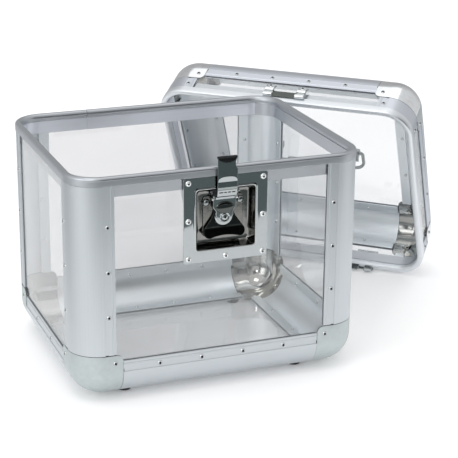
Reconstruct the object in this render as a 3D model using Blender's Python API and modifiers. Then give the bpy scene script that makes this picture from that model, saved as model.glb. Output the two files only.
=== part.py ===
"""Clear-panelled record carry case with a lift-off lid, standing open, in metres.

The case stands on its feet. The lid stands behind its right back corner, on its
own back edge, and leans forward on the rim corner. +X is to the right, +Y is to
the back, +Z is up.
"""

import bpy
import bmesh
import math
from mathutils import Matrix, Vector

for old in list(bpy.data.objects):
    bpy.data.objects.remove(old, do_unlink=True)

MM = 0.001

# ---------------------------------------------------------------- dimensions (mm)
HALF_W = 197.6          # case half width, to the outer face of the flanges
HALF_D = 162.0          # case half depth
FLOOR_Z = 6.1           # outer face of the floor flanges
RIM_Z = 295.0           # lower edge of the rim's outer lip
RIM_TOP = 307.0

CORNER_R = 42.0         # outside radius of posts, rails and ball corners
CORNER_C = 41.2         # its centre, in from both flange planes
SHELL = 2.0             # wall of the round part
ROUND_END = 38.4        # where the round part stops and the flange starts
FLANGE_END = 53.4       # inner edge of a flange
FLANGE_T = 1.5
SLOT_IN = 5.1           # inner side of the panel slot
SLOT_FLOOR = 41.4
INNER_T = 6.6
RIVET_AT = 43.9         # rivet row, in from the corner plane
LEG = 62.0              # length of a ball corner's legs
BALL_PROUD = 0.7        # a ball corner stands this far out of the extrusions beside it
BALL_WALL = 1.9
BALL_RIVET_AT = 51.5    # rivets of a ball corner, in from the corner planes
PITCH_FRONT = 57.5      # spacing of the rivets along front and back rails
PITCH_SIDE = 74.0       # and along side rails
GAP = 0.3

PANEL_T = 3.0
PANEL_OUT = 1.8         # outer face of a panel, in from the flange plane
PANEL_EDGE = 41.8       # edge of a panel in its slot, in from the crossing plane

LATCH_X = 3.1
LATCH_Z = 237.3
DISH = 114.0            # side of the dish's plate
RECESS = 81.0           # side of the recess at its mouth
RECESS_DEEP = 13.0
DISH_RIVET = 50.6       # rivets of the dish, out from its middle
HOOK_PIN_Z = 272.5      # axis that the hook swings on
HOOK_WIDE = 27.0

SOCKET_X = 98.0         # lid sockets and tongues, out from the middle
SOCKET_WIDE = 46.0
TONGUE_WIDE = 34.0

LID_H = 98.0            # opening edge to the outer face of the top flanges
LID_RIM = 12.0          # height of the lid rim's lip
LID_TURN = -42.45       # lid's width direction, degrees about Z
LID_LEAN = 25.0         # how far the lid leans forward from upright, degrees
LID_AT = (249.3, 194.4, 151.0)

PLACE = (-138.18, -123.95, 0.0)   # puts the middle of the whole footprint on the origin

# ---------------------------------------------------------------- collections, materials
part = bpy.data.collections.new("record_carry_case")
tools = bpy.data.collections.new("cutters")
for c in (part, tools):
    bpy.context.scene.collection.children.link(c)


def material(name, colour, rough, metal, alpha=1.0, transmission=0.0):
    m = bpy.data.materials.new(name)
    m.use_nodes = True
    b = m.node_tree.nodes["Principled BSDF"]
    b.inputs["Base Color"].default_value = (*colour, 1.0)
    b.inputs["Roughness"].default_value = rough
    b.inputs["Metallic"].default_value = metal
    b.inputs["Alpha"].default_value = alpha
    b.inputs["Transmission Weight"].default_value = transmission
    return m


ALU = ((0.62, 0.65, 0.66), 0.38, 1.0)
BALL = ((0.66, 0.69, 0.70), 0.24, 1.0)
CLEAR = ((0.90, 0.92, 0.92), 0.04, 0.0, 0.25, 0.9)
CHROME = ((0.55, 0.57, 0.56), 0.08, 1.0)
RUBBER = ((0.02, 0.02, 0.022), 0.7, 0.0)
GRIP = ((0.22, 0.23, 0.24), 0.5, 0.0)

# ---------------------------------------------------------------- helpers
HOME = Matrix.Translation(Vector(PLACE) * MM)
LID = (HOME @ Matrix.Translation(Vector(LID_AT) * MM)
       @ Matrix.Rotation(math.radians(LID_TURN), 4, "Z")
       @ Matrix.Rotation(math.radians(LID_LEAN - 90.0), 4, "X"))


def empty(name, matrix):
    e = bpy.data.objects.new(name, None)
    e.matrix_world = matrix
    part.objects.link(e)
    return e


case_base = empty("case_base", HOME)


def place(ob, matrix, parent, mat):
    ob.parent = parent
    ob.matrix_parent_inverse = parent.matrix_world.inverted()
    ob.matrix_world = matrix
    ob.data.materials.clear()
    ob.data.materials.append(material("mat_" + ob.name, *mat))
    if ob.type == "MESH":
        ob.data.shade_smooth()
        ob.data.set_sharp_from_angle(angle=math.radians(25))
    return ob


def frame_from(a, b, at=(0, 0, 0)):
    """Matrix whose X is a, whose Y is b and whose Z is a x b, at a point in mm."""
    a, b = Vector(a), Vector(b)
    m = Matrix((a, b, a.cross(b))).transposed().to_4x4()
    m.translation = Vector(at) * MM
    return m


def flat_outline(name, loops, thick):
    """Closed mesh plate: filled 2D curve of one or more loops (mm), extruded about Z = 0."""
    cu = bpy.data.curves.new(name + "_outline", "CURVE")
    cu.dimensions = "2D"
    cu.fill_mode = "BOTH"
    cu.extrude = thick * MM / 2
    for loop in loops:
        sp = cu.splines.new("POLY")
        sp.points.add(len(loop) - 1)
        for p, (x, y) in zip(sp.points, loop):
            p.co = (x * MM, y * MM, 0, 1)
        sp.use_cyclic_u = True
    tmp = bpy.data.objects.new(name + "_curve", cu)
    part.objects.link(tmp)
    return mesh_from(name, tmp)


def mesh_from(name, tmp):
    tmp.name = name + "_curve"
    bpy.context.view_layer.update()
    me = bpy.data.meshes.new_from_object(tmp.evaluated_get(bpy.context.evaluated_depsgraph_get()))
    me.name = name
    bm = bmesh.new()
    bm.from_mesh(me)
    bmesh.ops.remove_doubles(bm, verts=bm.verts, dist=2e-6)
    bmesh.ops.dissolve_limit(bm, angle_limit=math.radians(0.2), verts=bm.verts, edges=bm.edges)
    bmesh.ops.recalc_face_normals(bm, faces=bm.faces)
    bm.to_mesh(me)
    bm.free()
    ob = bpy.data.objects.new(name, me)
    ob.matrix_world = tmp.matrix_world
    part.objects.link(ob)
    bpy.data.objects.remove(tmp, do_unlink=True)
    return ob


def arc(cx, cy, r, a0, a1, n):
    return [(cx + r * math.cos(math.radians(a0 + (a1 - a0) * i / n)),
             cy + r * math.sin(math.radians(a0 + (a1 - a0) * i / n))) for i in range(n + 1)]


def round_rect(hx, hy, r, n):
    pts = []
    kx, ky = hx - r, hy - r
    for cx, cy, a in ((kx, ky, 0), (-kx, ky, 90), (-kx, -ky, 180), (kx, -ky, 270)):
        pts += arc(cx, cy, r, a, a + 90, n)
    return pts


def corner_section(n_out=9, n_in=7):
    """Section of the quarter-round extrusion. The corner point is (0, 0) and the case is at -x, -y."""
    c = -CORNER_C
    e = ROUND_END
    ao = math.degrees(math.asin((CORNER_C - e) / CORNER_R))
    ri = CORNER_R - SHELL
    ei = e + 0.25
    ai = math.degrees(math.asin((CORNER_C - ei) / ri))
    half = [(0, -FLANGE_END), (0, -e)]
    loop = half + arc(c, c, CORNER_R, ao, 90 - ao, n_out) + [(-e, 0), (-FLANGE_END, 0),
        (-FLANGE_END, -FLANGE_T), (-SLOT_FLOOR, -FLANGE_T), (-SLOT_FLOOR, -SLOT_IN), (-FLANGE_END, -SLOT_IN),
        (-FLANGE_END, -INNER_T), (-ei, -INNER_T)]
    loop += arc(c, c, ri, 90 - ai, ai, n_in)
    loop += [(-INNER_T, -ei), (-INNER_T, -FLANGE_END), (-SLOT_IN, -FLANGE_END), (-SLOT_IN, -SLOT_FLOOR),
             (-FLANGE_T, -SLOT_FLOOR), (-FLANGE_T, -FLANGE_END)]
    return loop


def rivets(ob, spots, r=3.1, proud=1.0):
    """Unites low rivet heads with ob. Each spot is (point mm, outward normal) in ob's parent frame."""
    bm = bmesh.new()
    for at, normal in spots:
        turn = Vector(normal).to_track_quat("Z", "Y").to_matrix().to_4x4()
        turn.translation = (Vector(at) + Vector(normal) * (proud - 1.1) / 2) * MM
        bmesh.ops.create_cone(bm, cap_ends=True, segments=8, radius1=r * MM, radius2=0.75 * r * MM,
                              depth=(proud + 1.1) * MM, matrix=turn)
    me = bpy.data.meshes.new(ob.name + "_rivets")
    bm.to_mesh(me)
    bm.free()
    cut = bpy.data.objects.new(ob.name + "_rivets", me)
    cut.matrix_world = ob.parent.matrix_world
    cut.hide_render = True
    cut.display_type = "WIRE"
    tools.objects.link(cut)
    mod = ob.modifiers.new("rivet_heads", "BOOLEAN")
    mod.operation = "UNION"
    mod.solver = "EXACT"
    mod.object = cut


def notch(ob, boxes):
    """Cuts boxes ((x0, x1), (y0, y1), (z0, z1)) in mm, in the parent's frame, out of ob."""
    bm = bmesh.new()
    for (x0, x1), (y0, y1), (z0, z1) in boxes:
        m = Matrix.Translation(Vector(((x0 + x1) / 2, (y0 + y1) / 2, (z0 + z1) / 2)) * MM)
        m = m @ Matrix.Diagonal((abs(x1 - x0), abs(y1 - y0), abs(z1 - z0), 1))
        bmesh.ops.create_cube(bm, size=MM, matrix=m)
    bmesh.ops.recalc_face_normals(bm, faces=bm.faces)
    me = bpy.data.meshes.new(ob.name + "_notch")
    bm.to_mesh(me)
    bm.free()
    cut = bpy.data.objects.new(ob.name + "_notch", me)
    cut.matrix_world = ob.parent.matrix_world
    cut.hide_render = True
    cut.display_type = "WIRE"
    tools.objects.link(cut)
    mod = ob.modifiers.new("notch", "BOOLEAN")
    mod.operation = "DIFFERENCE"
    mod.solver = "EXACT"
    mod.object = cut


def extrusion(name, out_a, out_b, at, length, parent, mat=ALU):
    """A length of the quarter-round section, centred on `at`, with its flanges facing out_a and out_b."""
    ob = flat_outline(name, [corner_section()], length)
    return place(ob, parent.matrix_world @ frame_from(out_a, out_b, at), parent, mat)


def ball_corner(name, sx, sy, sz, at, parent):
    """Eighth of a ball with three short legs: the corner of a bevelled cube, made into a shell."""
    s = 260.0
    bm = bmesh.new()
    bmesh.ops.create_cube(bm, size=s * MM, matrix=Matrix.Translation(Vector((-s / 2, -s / 2, -s / 2)) * MM))
    bmesh.ops.bevel(bm, geom=bm.edges[:] + bm.verts[:], offset=CORNER_R * MM, segments=7, profile=0.5,
                    affect="EDGES", clamp_overlap=False)
    for i in range(3):
        co, no = [0, 0, 0], [0, 0, 0]
        co[i], no[i] = -(LEG + BALL_PROUD) * MM, -1
        bmesh.ops.bisect_plane(bm, geom=bm.verts[:] + bm.edges[:] + bm.faces[:], plane_co=co, plane_no=no,
                               clear_outer=True)
    bmesh.ops.dissolve_limit(bm, angle_limit=math.radians(0.2), verts=bm.verts, edges=bm.edges)
    bmesh.ops.recalc_face_normals(bm, faces=bm.faces)
    hub = Vector((-CORNER_R, -CORNER_R, -CORNER_R)) * MM
    f = max(bm.faces, key=lambda f: f.calc_area())
    if f.normal.dot(f.calc_center_median() - hub) < 0:
        bmesh.ops.reverse_faces(bm, faces=bm.faces)
    me = bpy.data.meshes.new(name)
    bm.to_mesh(me)
    bm.free()
    ob = bpy.data.objects.new(name, me)
    part.objects.link(ob)
    a, b, c = Vector((sx, 0, 0)), Vector((0, sy, 0)), Vector((0, 0, sz))
    if sx * sy * sz < 0:
        a, b = b, a
    m = Matrix((a, b, c)).transposed().to_4x4()
    m.translation = (Vector(at) + Vector((sx, sy, sz)) * BALL_PROUD) * MM
    place(ob, parent.matrix_world @ m, parent, BALL)
    mod = ob.modifiers.new("wall", "SOLIDIFY")
    mod.thickness = BALL_WALL * MM
    mod.offset = -1
    return ob


def swept_frame(name, section, hx, hy, r, matrix, parent, mat, n=9):
    """A closed section swept round a rounded rectangle. Section x is outward, y is up."""
    prof = bpy.data.curves.new(name + "_section", "CURVE")
    prof.dimensions = "2D"
    sp = prof.splines.new("POLY")
    sp.points.add(len(section) - 1)
    for p, (x, y) in zip(sp.points, section):
        p.co = (-x * MM, y * MM, 0, 1)
    sp.use_cyclic_u = True
    guide = bpy.data.objects.new(name + "_section", prof)
    guide.hide_render = True
    tools.objects.link(guide)
    cu = bpy.data.curves.new(name + "_path", "CURVE")
    cu.dimensions = "2D"
    cu.fill_mode = "NONE"
    path = round_rect(hx, hy, r, n)
    sp = cu.splines.new("POLY")
    sp.points.add(len(path) - 1)
    for p, (x, y) in zip(sp.points, path):
        p.co = (x * MM, y * MM, 0, 1)
    sp.use_cyclic_u = True
    cu.bevel_mode = "OBJECT"
    cu.bevel_object = guide
    tmp = bpy.data.objects.new(name + "_path", cu)
    part.objects.link(tmp)
    ob = mesh_from(name, tmp)
    bpy.data.objects.remove(guide, do_unlink=True)
    return place(ob, matrix, parent, mat)


def rim_section(lip_low, top, flange_low):
    """Bead with rounded top, outer lip, groove and wide inner flange; a slot for the panel from below."""
    out, inn = 1.5, -8.5
    s = [(-FLANGE_T, lip_low), (out, lip_low)]
    s += arc(out - 4.0, top - 4.0, 4.0, 0, 90, 4)
    s += arc(inn + 3.6, top - 3.6, 3.6, 90, 180, 4)
    s += [(inn, lip_low + 0.6), (-6.7, lip_low), (-6.7, lip_low - 3.0), (inn + 0.4, lip_low - 3.4)]
    s += [(inn + 0.4, flange_low), (-SLOT_IN, flange_low), (-SLOT_IN, top - 4.5), (-FLANGE_T, top - 4.5)]
    return s


def plate(name, loops, thick, matrix, parent, mat, bevel=0.0):
    ob = flat_outline(name, loops, thick)
    place(ob, matrix, parent, mat)
    if bevel:
        mod = ob.modifiers.new("edges", "BEVEL")
        mod.width = bevel * MM
        mod.segments = 2
        mod.angle_limit = math.radians(50)
        mod.limit_method = "ANGLE"
    return ob


def rect(x0, x1, y0, y1):
    return [(x0, y0), (x1, y0), (x1, y1), (x0, y1)]


FACE_FRONT = ((1, 0, 0), (0, 0, 1))      # outline x -> X, y -> Z, thickness along -Y
FACE_SIDE = ((0, 1, 0), (0, 0, 1))       # outline x -> Y, y -> Z, thickness along +X
FLAT = ((1, 0, 0), (0, 1, 0))

# ---------------------------------------------------------------- one box of panels and extrusions
def box_shell(prefix, parent, up, face_z, rim_z, flange_z, n_front, n_side, rivet_z, front_hole=None):
    """Posts, rails, ball corners and panels between the flat face at face_z and the rim's lip at rim_z.
    The rim's inner flange reaches to flange_z, and the posts' inner flanges stop short of it.
    up is -1 where the flat face is below (case) and +1 where it is above (lid)."""
    s = -up
    leg_end = face_z + s * (LEG + GAP)
    post_mid = (leg_end + rim_z - s * GAP) / 2
    post_len = abs(rim_z - s * GAP - leg_end)
    for tag, sx, sy in (("fl", -1, -1), ("fr", 1, -1), ("bl", -1, 1), ("br", 1, 1)):
        corner = (sx * HALF_W, sy * HALF_D)
        post = extrusion(prefix + "post_" + tag, (sx, 0, 0), (0, sy, 0), (*corner, post_mid), post_len, parent)
        spots = []
        for z in rivet_z:
            spots.append(((sx * HALF_W, sy * (HALF_D - RIVET_AT), z), (sx, 0, 0)))
            spots.append(((sx * (HALF_W - RIVET_AT), sy * HALF_D, z), (0, sy, 0)))
        zz = (flange_z - s * GAP, rim_z + s * 5.0)
        notch(post, [((sx * (HALF_W - 12), sx * (HALF_W - 4.8)), (sy * (HALF_D - 60), sy * (HALF_D - 36)), zz),
                     ((sx * (HALF_W - 60), sx * (HALF_W - 36)), (sy * (HALF_D - 12), sy * (HALF_D - 4.8)), zz)])
        rivets(post, spots)
        ball = ball_corner(prefix + "ball_corner_" + tag, sx, sy, up, (*corner, face_z), parent)
        b = BALL_RIVET_AT
        rivets(ball, [((sx * (HALF_W - b), sy * (HALF_D + BALL_PROUD), face_z + s * b), (0, sy, 0)),
                      ((sx * (HALF_W + BALL_PROUD), sy * (HALF_D - b), face_z + s * b), (sx, 0, 0)),
                      ((sx * (HALF_W - b), sy * (HALF_D - b), face_z - s * BALL_PROUD), (0, 0, up))])
    lx = 2 * (HALF_W - LEG - GAP)
    ly = 2 * (HALF_D - LEG - GAP)
    row_z = face_z + s * RIVET_AT
    for tag, sy in (("front", -1), ("back", 1)):
        rail = extrusion(prefix + "rail_" + tag, (0, sy, 0), (0, 0, up), (0, sy * HALF_D, face_z), lx, parent)
        spots = []
        for i in range(n_front):
            x = PITCH_FRONT * (i - (n_front - 1) / 2)
            spots.append(((x, sy * HALF_D, row_z), (0, sy, 0)))
            spots.append(((x, sy * (HALF_D - RIVET_AT), face_z), (0, 0, up)))
        rivets(rail, spots)
    for tag, sx in (("left", -1), ("right", 1)):
        rail = extrusion(prefix + "rail_" + tag, (sx, 0, 0), (0, 0, up), (sx * HALF_W, 0, face_z), ly, parent)
        spots = []
        for i in range(n_side):
            y = PITCH_SIDE * (i - (n_side - 1) / 2)
            spots.append(((sx * HALF_W, y, row_z), (sx, 0, 0)))
            spots.append(((sx * (HALF_W - RIVET_AT), y, face_z), (0, 0, up)))
        rivets(rail, spots)
    lo = face_z + s * PANEL_EDGE
    hi = rim_z + s * 7.0
    z0, z1 = min(lo, hi), max(lo, hi)
    mid = PANEL_OUT + PANEL_T / 2
    ex, ey = HALF_W - PANEL_EDGE, HALF_D - PANEL_EDGE
    w = parent.matrix_world
    for tag, sy in (("front", -1), ("back", 1)):
        loops = [rect(-ex, ex, z0, z1)]
        if front_hole and tag == "front":
            loops.append(front_hole)
        plate(prefix + "panel_" + tag, loops, PANEL_T, w @ frame_from(*FACE_FRONT, (0, sy * (HALF_D - mid), 0)),
              parent, CLEAR)
    for tag, sx in (("left", -1), ("right", 1)):
        plate(prefix + "panel_" + tag, [rect(-ey, ey, z0, z1)], PANEL_T,
              w @ frame_from(*FACE_SIDE, (sx * (HALF_W - mid), 0, 0)), parent, CLEAR)
    plate(prefix + ("floor_panel" if up < 0 else "panel_top"), [rect(-ex, ex, -ey, ey)], PANEL_T,
          w @ frame_from(*FLAT, (0, 0, face_z + s * mid)), parent, CLEAR)


# ---------------------------------------------------------------- case body
hole = [(LATCH_X + x, LATCH_Z + z) for x, z in round_rect(RECESS / 2 + 1.2, RECESS / 2 + 1.2, 7.0, 4)]
box_shell("", case_base, -1, FLOOR_Z, RIM_Z, 279.6, 4, 2, (121.2, 181.7, 241.9), front_hole=hole)

swept_frame("rim_frame", rim_section(RIM_Z, RIM_TOP, 279.6), HALF_W, HALF_D, 41.5, HOME.copy(), case_base, ALU)

for tag, sx, sy in (("fl", -1, -1), ("fr", 1, -1), ("bl", -1, 1), ("br", 1, 1)):
    bm = bmesh.new()
    bmesh.ops.create_cone(bm, cap_ends=True, segments=24, radius1=8.6 * MM, radius2=10.0 * MM, depth=5.0 * MM)
    me = bpy.data.meshes.new("foot_" + tag)
    bm.to_mesh(me)
    bm.free()
    foot = bpy.data.objects.new("foot_" + tag, me)
    part.objects.link(foot)
    place(foot, HOME @ Matrix.Translation(Vector((sx * 121.5, sy * 117.5, 2.5)) * MM), case_base, RUBBER)

# ---------------------------------------------------------------- latch (outward is -Y)
def out_y(o):
    return -(HALF_D + o)


def dish():
    """Square plate with a pressed square recess: an open sheet through rounded squares, made into a shell."""
    n = 4
    h, q = DISH / 2, RECESS / 2
    rings = [(h, 2.0, -1.1), (h, 2.0, -0.6), (h - 0.6, 2.0, 0.0), (q + 2.0, 8.0, 0.0), (q + 1.0, 7.6, 0.9)]
    rings += [(q, 7.0, 0.6), (q - 1.0, 6.4, -1.2)]
    rings += [(q - 4.0, 6.0, 2.0 - RECESS_DEEP), (q - 6.0, 5.0, -RECESS_DEEP)]
    bm = bmesh.new()
    prev = None
    for half, r, o in rings:
        ring = [bm.verts.new(Vector((x, out_y(o) + HALF_D, z)) * MM) for x, z in round_rect(half, half, r, n)]
        if prev:
            for i in range(len(ring)):
                j = (i + 1) % len(ring)
                bm.faces.new((prev[i], prev[j], ring[j], ring[i]))
        prev = ring
    bm.faces.new(prev)
    bmesh.ops.recalc_face_normals(bm, faces=bm.faces)
    flat = min(bm.faces, key=lambda f: abs(f.calc_center_median().y - RECESS_DEEP * MM))
    if flat.normal.y > 0:
        bmesh.ops.reverse_faces(bm, faces=bm.faces)
    me = bpy.data.meshes.new("latch_dish")
    bm.to_mesh(me)
    bm.free()
    ob = bpy.data.objects.new("latch_dish", me)
    part.objects.link(ob)
    place(ob, HOME @ Matrix.Translation(Vector((LATCH_X, -HALF_D, LATCH_Z)) * MM), case_base, CHROME)
    mod = ob.modifiers.new("wall", "SOLIDIFY")
    mod.thickness = 1.0 * MM
    mod.offset = -1
    return ob


def box_at(name, x0, x1, z0, z1, o0, o1, parent, mat, bevel=0.0, r=0.0, n=3):
    cx, cz = (x0 + x1) / 2, (z0 + z1) / 2
    hx, hz = (x1 - x0) / 2, (z1 - z0) / 2
    loop = round_rect(hx, hz, r, n) if r else rect(-hx, hx, -hz, hz)
    m = HOME @ frame_from(*FACE_FRONT, (cx, out_y((o0 + o1) / 2), cz))
    return plate(name, [loop], o1 - o0, m, parent, mat, bevel)


dish_ob = dish()
spots = []
for dx in (-DISH_RIVET, 0, DISH_RIVET):
    for dz in (-DISH_RIVET, 0, DISH_RIVET):
        if dx or dz < 0:
            spots.append(((LATCH_X + dx, out_y(0.0), LATCH_Z + dz), (0, -1, 0)))
rivets(dish_ob, spots, r=3.4, proud=1.2)

base = box_at("latch_base", LATCH_X - 27, LATCH_X + 27, LATCH_Z - 26, LATCH_Z + 28, -12.7, -11.2, case_base,
              CHROME, r=4)
rivets(base, [((LATCH_X + x, out_y(-11.2), LATCH_Z + z), (0, -1, 0)) for x in (-22, 22) for z in (-21, 23)],
       r=3.0, proud=0.9)

latch_axis = empty("latch_wing_axis", HOME @ Matrix.Translation(Vector((LATCH_X, out_y(0), LATCH_Z)) * MM))
bm = bmesh.new()
bmesh.ops.create_cone(bm, cap_ends=True, segments=28, radius1=12.4 * MM, radius2=11.6 * MM, depth=3.4 * MM)
me = bpy.data.meshes.new("latch_disc")
bm.to_mesh(me)
bm.free()
disc = bpy.data.objects.new("latch_disc", me)
part.objects.link(disc)
place(disc, HOME @ frame_from((1, 0, 0), (0, 0, 1), (LATCH_X, out_y(-9.2), LATCH_Z)), latch_axis, CHROME)


def wing_outline():
    """Butterfly outline about the pivot: two round lobes below, and shoulders drawn in to the apex."""
    pts = []
    pts += arc(21.0, -19.5, 7.2, 40, -110, 7)
    pts += arc(0.0, -46.5, 24.8, 48, 132, 6)
    pts += arc(-21.0, -19.5, 7.2, 290, 140, 7)
    pts += [(-20.5, -7.0), (-14.5, 2.0), (-13.2, 8.0)]
    pts += arc(0.0, 6.0, 13.4, 172, 8, 8)
    pts += [(13.2, 8.0), (14.5, 2.0), (20.5, -7.0)]
    return pts


def bent_wing():
    """The wing sheet: flat round the pivot hole, with its lobes set outward."""
    loops = [wing_outline(), list(reversed(arc(0, 0, 12.9, 0, 345, 23)))]
    ob = flat_outline("latch_wing", loops, 2.0)
    bm = bmesh.new()
    bm.from_mesh(ob.data)
    for k in range(1, 8):
        bmesh.ops.bisect_plane(bm, geom=bm.verts[:] + bm.edges[:] + bm.faces[:],
                               plane_co=(0, (-11.0 - 2.2 * k) * MM, 0), plane_no=(0, 1, 0))
    for v in bm.verts:
        y = v.co.y / MM
        if y < -12.5:
            t = min(1.0, (-12.5 - y) / 15.0)
            v.co.z += 6.5 * MM * t * t * (3 - 2 * t)
    bm.to_mesh(ob.data)
    bm.free()
    return ob


wing = bent_wing()
place(wing, HOME @ frame_from((1, 0, 0), (0, 0, 1), (LATCH_X, out_y(-9.0), LATCH_Z)), latch_axis, CHROME)

yoke_base = empty("latch_hook_lift", HOME @ Matrix.Translation(Vector((LATCH_X, out_y(0), LATCH_Z)) * MM))
# yoke: rounded plate with a domed boss over the pivot and a rolled top that carries the hook
side = [(-15.6, 31.0), (-15.6, 14.0)] + arc(0, 4.6, 11.8, 176, 364, 12) + [(15.6, 14.0), (15.6, 31.0)]
yoke = flat_outline("latch_yoke", [side], 2.6)
place(yoke, HOME @ frame_from((1, 0, 0), (0, 0, 1), (LATCH_X, out_y(-5.4), LATCH_Z)), yoke_base, CHROME)
bm = bmesh.new()
dome = Matrix.Translation(Vector((LATCH_X, out_y(-4.0), LATCH_Z + 13.0)) * MM)
dome = dome @ Matrix.Diagonal((1, 0.24, 0.7, 1))
bmesh.ops.create_uvsphere(bm, u_segments=18, v_segments=8, radius=12.3 * MM,
                          matrix=dome @ Matrix.Rotation(math.radians(90), 4, "X"))
me = bpy.data.meshes.new("yoke_boss")
bm.to_mesh(me)
bm.free()
boss = bpy.data.objects.new("yoke_boss", me)
boss.matrix_world = HOME
boss.hide_render = True
boss.display_type = "WIRE"
tools.objects.link(boss)
mod = yoke.modifiers.new("boss", "BOOLEAN")
mod.operation = "UNION"
mod.object = boss

hook_pin = Vector((LATCH_X, out_y(-2.0), HOOK_PIN_Z))
hook_axis = empty("latch_hook_axis", HOME @ Matrix.Translation(hook_pin * MM))


def hook_section():
    """Side outline of the hook (outward, up): rolled eye at the foot, strap, tip bent in over the rim."""
    eye = arc(-1.6, HOOK_PIN_Z, 3.6, 150, 390, 8)
    outside = [(3.8, 276.8), (4.6, 282.0), (6.0, 300.0), (7.2, 317.4), (6.4, 321.4), (2.5, 323.2), (-3.4, 323.0)]
    inside = [(-5.0, 319.4), (-3.6, 318.5), (2.6, 319.4), (4.7, 317.2), (4.0, 300.0), (2.6, 282.0), (1.7, 277.2)]
    return eye + outside + inside + [(-1.8, 276.3)]


hook = flat_outline("latch_hook", [hook_section()], HOOK_WIDE)
place(hook, HOME @ frame_from((0, -1, 0), (0, 0, 1), (LATCH_X, -HALF_D, 0)), hook_axis, CHROME)

# ---------------------------------------------------------------- lid sockets on the case's back
for tag, sx in (("left", -1), ("right", 1)):
    m = HOME @ frame_from((0, 1, 0), (0, 0, 1), (sx * SOCKET_X, HALF_D, 0))
    prof = [(-1.5, 281.0), (0.0, 281.0), (0.0, 293.4), (3.3, 293.4), (3.3, 301.6), (7.2, 301.6), (7.2, 303.4),
            (1.8, 303.4), (1.8, 294.7), (-1.5, 294.7)]
    sock = plate("hinge_socket_" + tag, [prof], SOCKET_WIDE, m, case_base, CHROME)
    rivets(sock, [((sx * SOCKET_X + dx, HALF_D, 287.0), (0, 1, 0)) for dx in (-14, 14)], r=2.8)

# ---------------------------------------------------------------- lid
lid_axis = empty("lid_tip_axis", LID.copy())
box_shell("lid_", lid_axis, 1, LID_H, LID_RIM, 27.6, 4, 2, (21.5,))
flip = LID @ Matrix.Rotation(math.radians(180), 4, "X")
swept_frame("lid_rim_frame", rim_section(-LID_RIM, 0.0, -27.6), HALF_W, HALF_D, 41.5, flip, lid_axis, ALU)

# keeper for the hook on the lid's front side
kl = [(-31, 9.0), (31, 9.0), (32, 13.0), (33, 34.0), (17, 34.0), (16.6, 23.5), (-16.6, 23.5), (-17, 34.0),
      (-33, 34.0), (-32, 13.0)]
keep = plate("lid_keeper", [[(x + LATCH_X, z) for x, z in kl]], 1.6,
             LID @ frame_from(*FACE_FRONT, (0, -(HALF_D + 2.6), 0)), lid_axis, CHROME)
rivets(keep, [((LATCH_X + sx * 25, -(HALF_D + 3.4), 28.0), (0, -1, 0)) for sx in (-1, 1)], r=3.2, proud=1.4)

# tongues on the lid's back edge
for tag, sx in (("left", -1), ("right", 1)):
    m = LID @ frame_from((0, 1, 0), (0, 0, 1), (sx * SOCKET_X, HALF_D, 0))
    prof = [(-5.6, -11.5), (-4.1, -11.5), (-4.1, -1.8), (3.3, -1.8), (3.3, 13.9), (0.0, 13.9), (0.0, 36.0)]
    prof += [(-1.5, 36.0), (-1.5, 12.4), (1.8, 12.4), (1.8, -0.3), (-5.6, -0.3)]
    tongue = plate("lid_hinge_tongue_" + tag, [prof], TONGUE_WIDE, m, lid_axis, CHROME)
    rivets(tongue, [((sx * SOCKET_X + dx, HALF_D, 26.0), (0, 1, 0)) for dx in (-10, 10)], r=2.8)

# carry handle on the lid's top
HANDLE_X, HANDLE_Y, HANDLE_Z = 8.0, 12.0, LID_H + 5.6
GRIP_Y, GRIP_Z = 33.0, 1.6
GRIP_R, GRIP_LONG = 6.2, 104.0
BAIL_R = 2.7
BRACKET_X, BRACKET_WIDE = 62.5, 13.0
for tag, sx in (("left", -1), ("right", 1)):
    cx = HANDLE_X + sx * BRACKET_X
    foot_z = LID_H - PANEL_OUT + GAP
    br = [(-12.0, foot_z), (12.0, foot_z), (12.0, foot_z + 1.6), (7.6, foot_z + 1.6)]
    br += arc(0, HANDLE_Z, 6.4, -25, 205, 10) + [(-7.6, foot_z + 1.6), (-12.0, foot_z + 1.6)]
    ring = list(reversed(arc(0, HANDLE_Z, 3.3, 0, 330, 11)))
    m = LID @ frame_from((0, 1, 0), (0, 0, 1), (cx, HANDLE_Y, 0))
    plate("lid_handle_bracket_" + tag, [br, ring], BRACKET_WIDE, m, lid_axis, CHROME)

handle_at = Vector((HANDLE_X, HANDLE_Y, HANDLE_Z))
handle_axis = empty("lid_handle_axis", LID @ Matrix.Translation(handle_at * MM))


def handle_path():
    """Bail of the handle: in at the left eye, down, along the grip and up to the right eye."""
    p = [(-69.8, 0.0, 0.0), (-72.5, 0.6, 0.0), (-74.2, 3.0, 0.0)]
    p += [(-74.6, 8.0, 0.1), (-74.4, 16.0, 0.6), (-72.6, 24.0, 1.0), (-67.0, 29.5, 1.4)]
    q = [(-x, y, z) for x, y, z in reversed(p)]
    mid = [(x, GRIP_Y, GRIP_Z) for x in (-58, 0, 58)]
    return [(-55.6, 0.0, 0.0)] + p + mid + q + [(55.6, 0.0, 0.0)]


cu = bpy.data.curves.new("lid_handle_bail_path", "CURVE")
cu.dimensions = "3D"
cu.bevel_depth = BAIL_R * MM
cu.bevel_resolution = 2
cu.use_fill_caps = True
path = handle_path()
sp = cu.splines.new("POLY")
sp.points.add(len(path) - 1)
for p, co in zip(sp.points, path):
    p.co = (*(Vector(co) * MM), 1)
bail = bpy.data.objects.new("lid_handle_bail_path", cu)
part.objects.link(bail)
bail = mesh_from("lid_handle_bail", bail)
place(bail, handle_axis.matrix_world.copy(), handle_axis, CHROME)
grip_ring = [arc(0, 0, GRIP_R, 0, 348, 29), list(reversed(arc(0, 0, BAIL_R + 0.3, 0, 330, 11)))]
grip = flat_outline("lid_handle_grip", grip_ring, GRIP_LONG)
place(grip, handle_axis.matrix_world @ frame_from((0, 1, 0), (0, 0, 1), (0.0, GRIP_Y, GRIP_Z)), handle_axis, GRIP)
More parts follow.
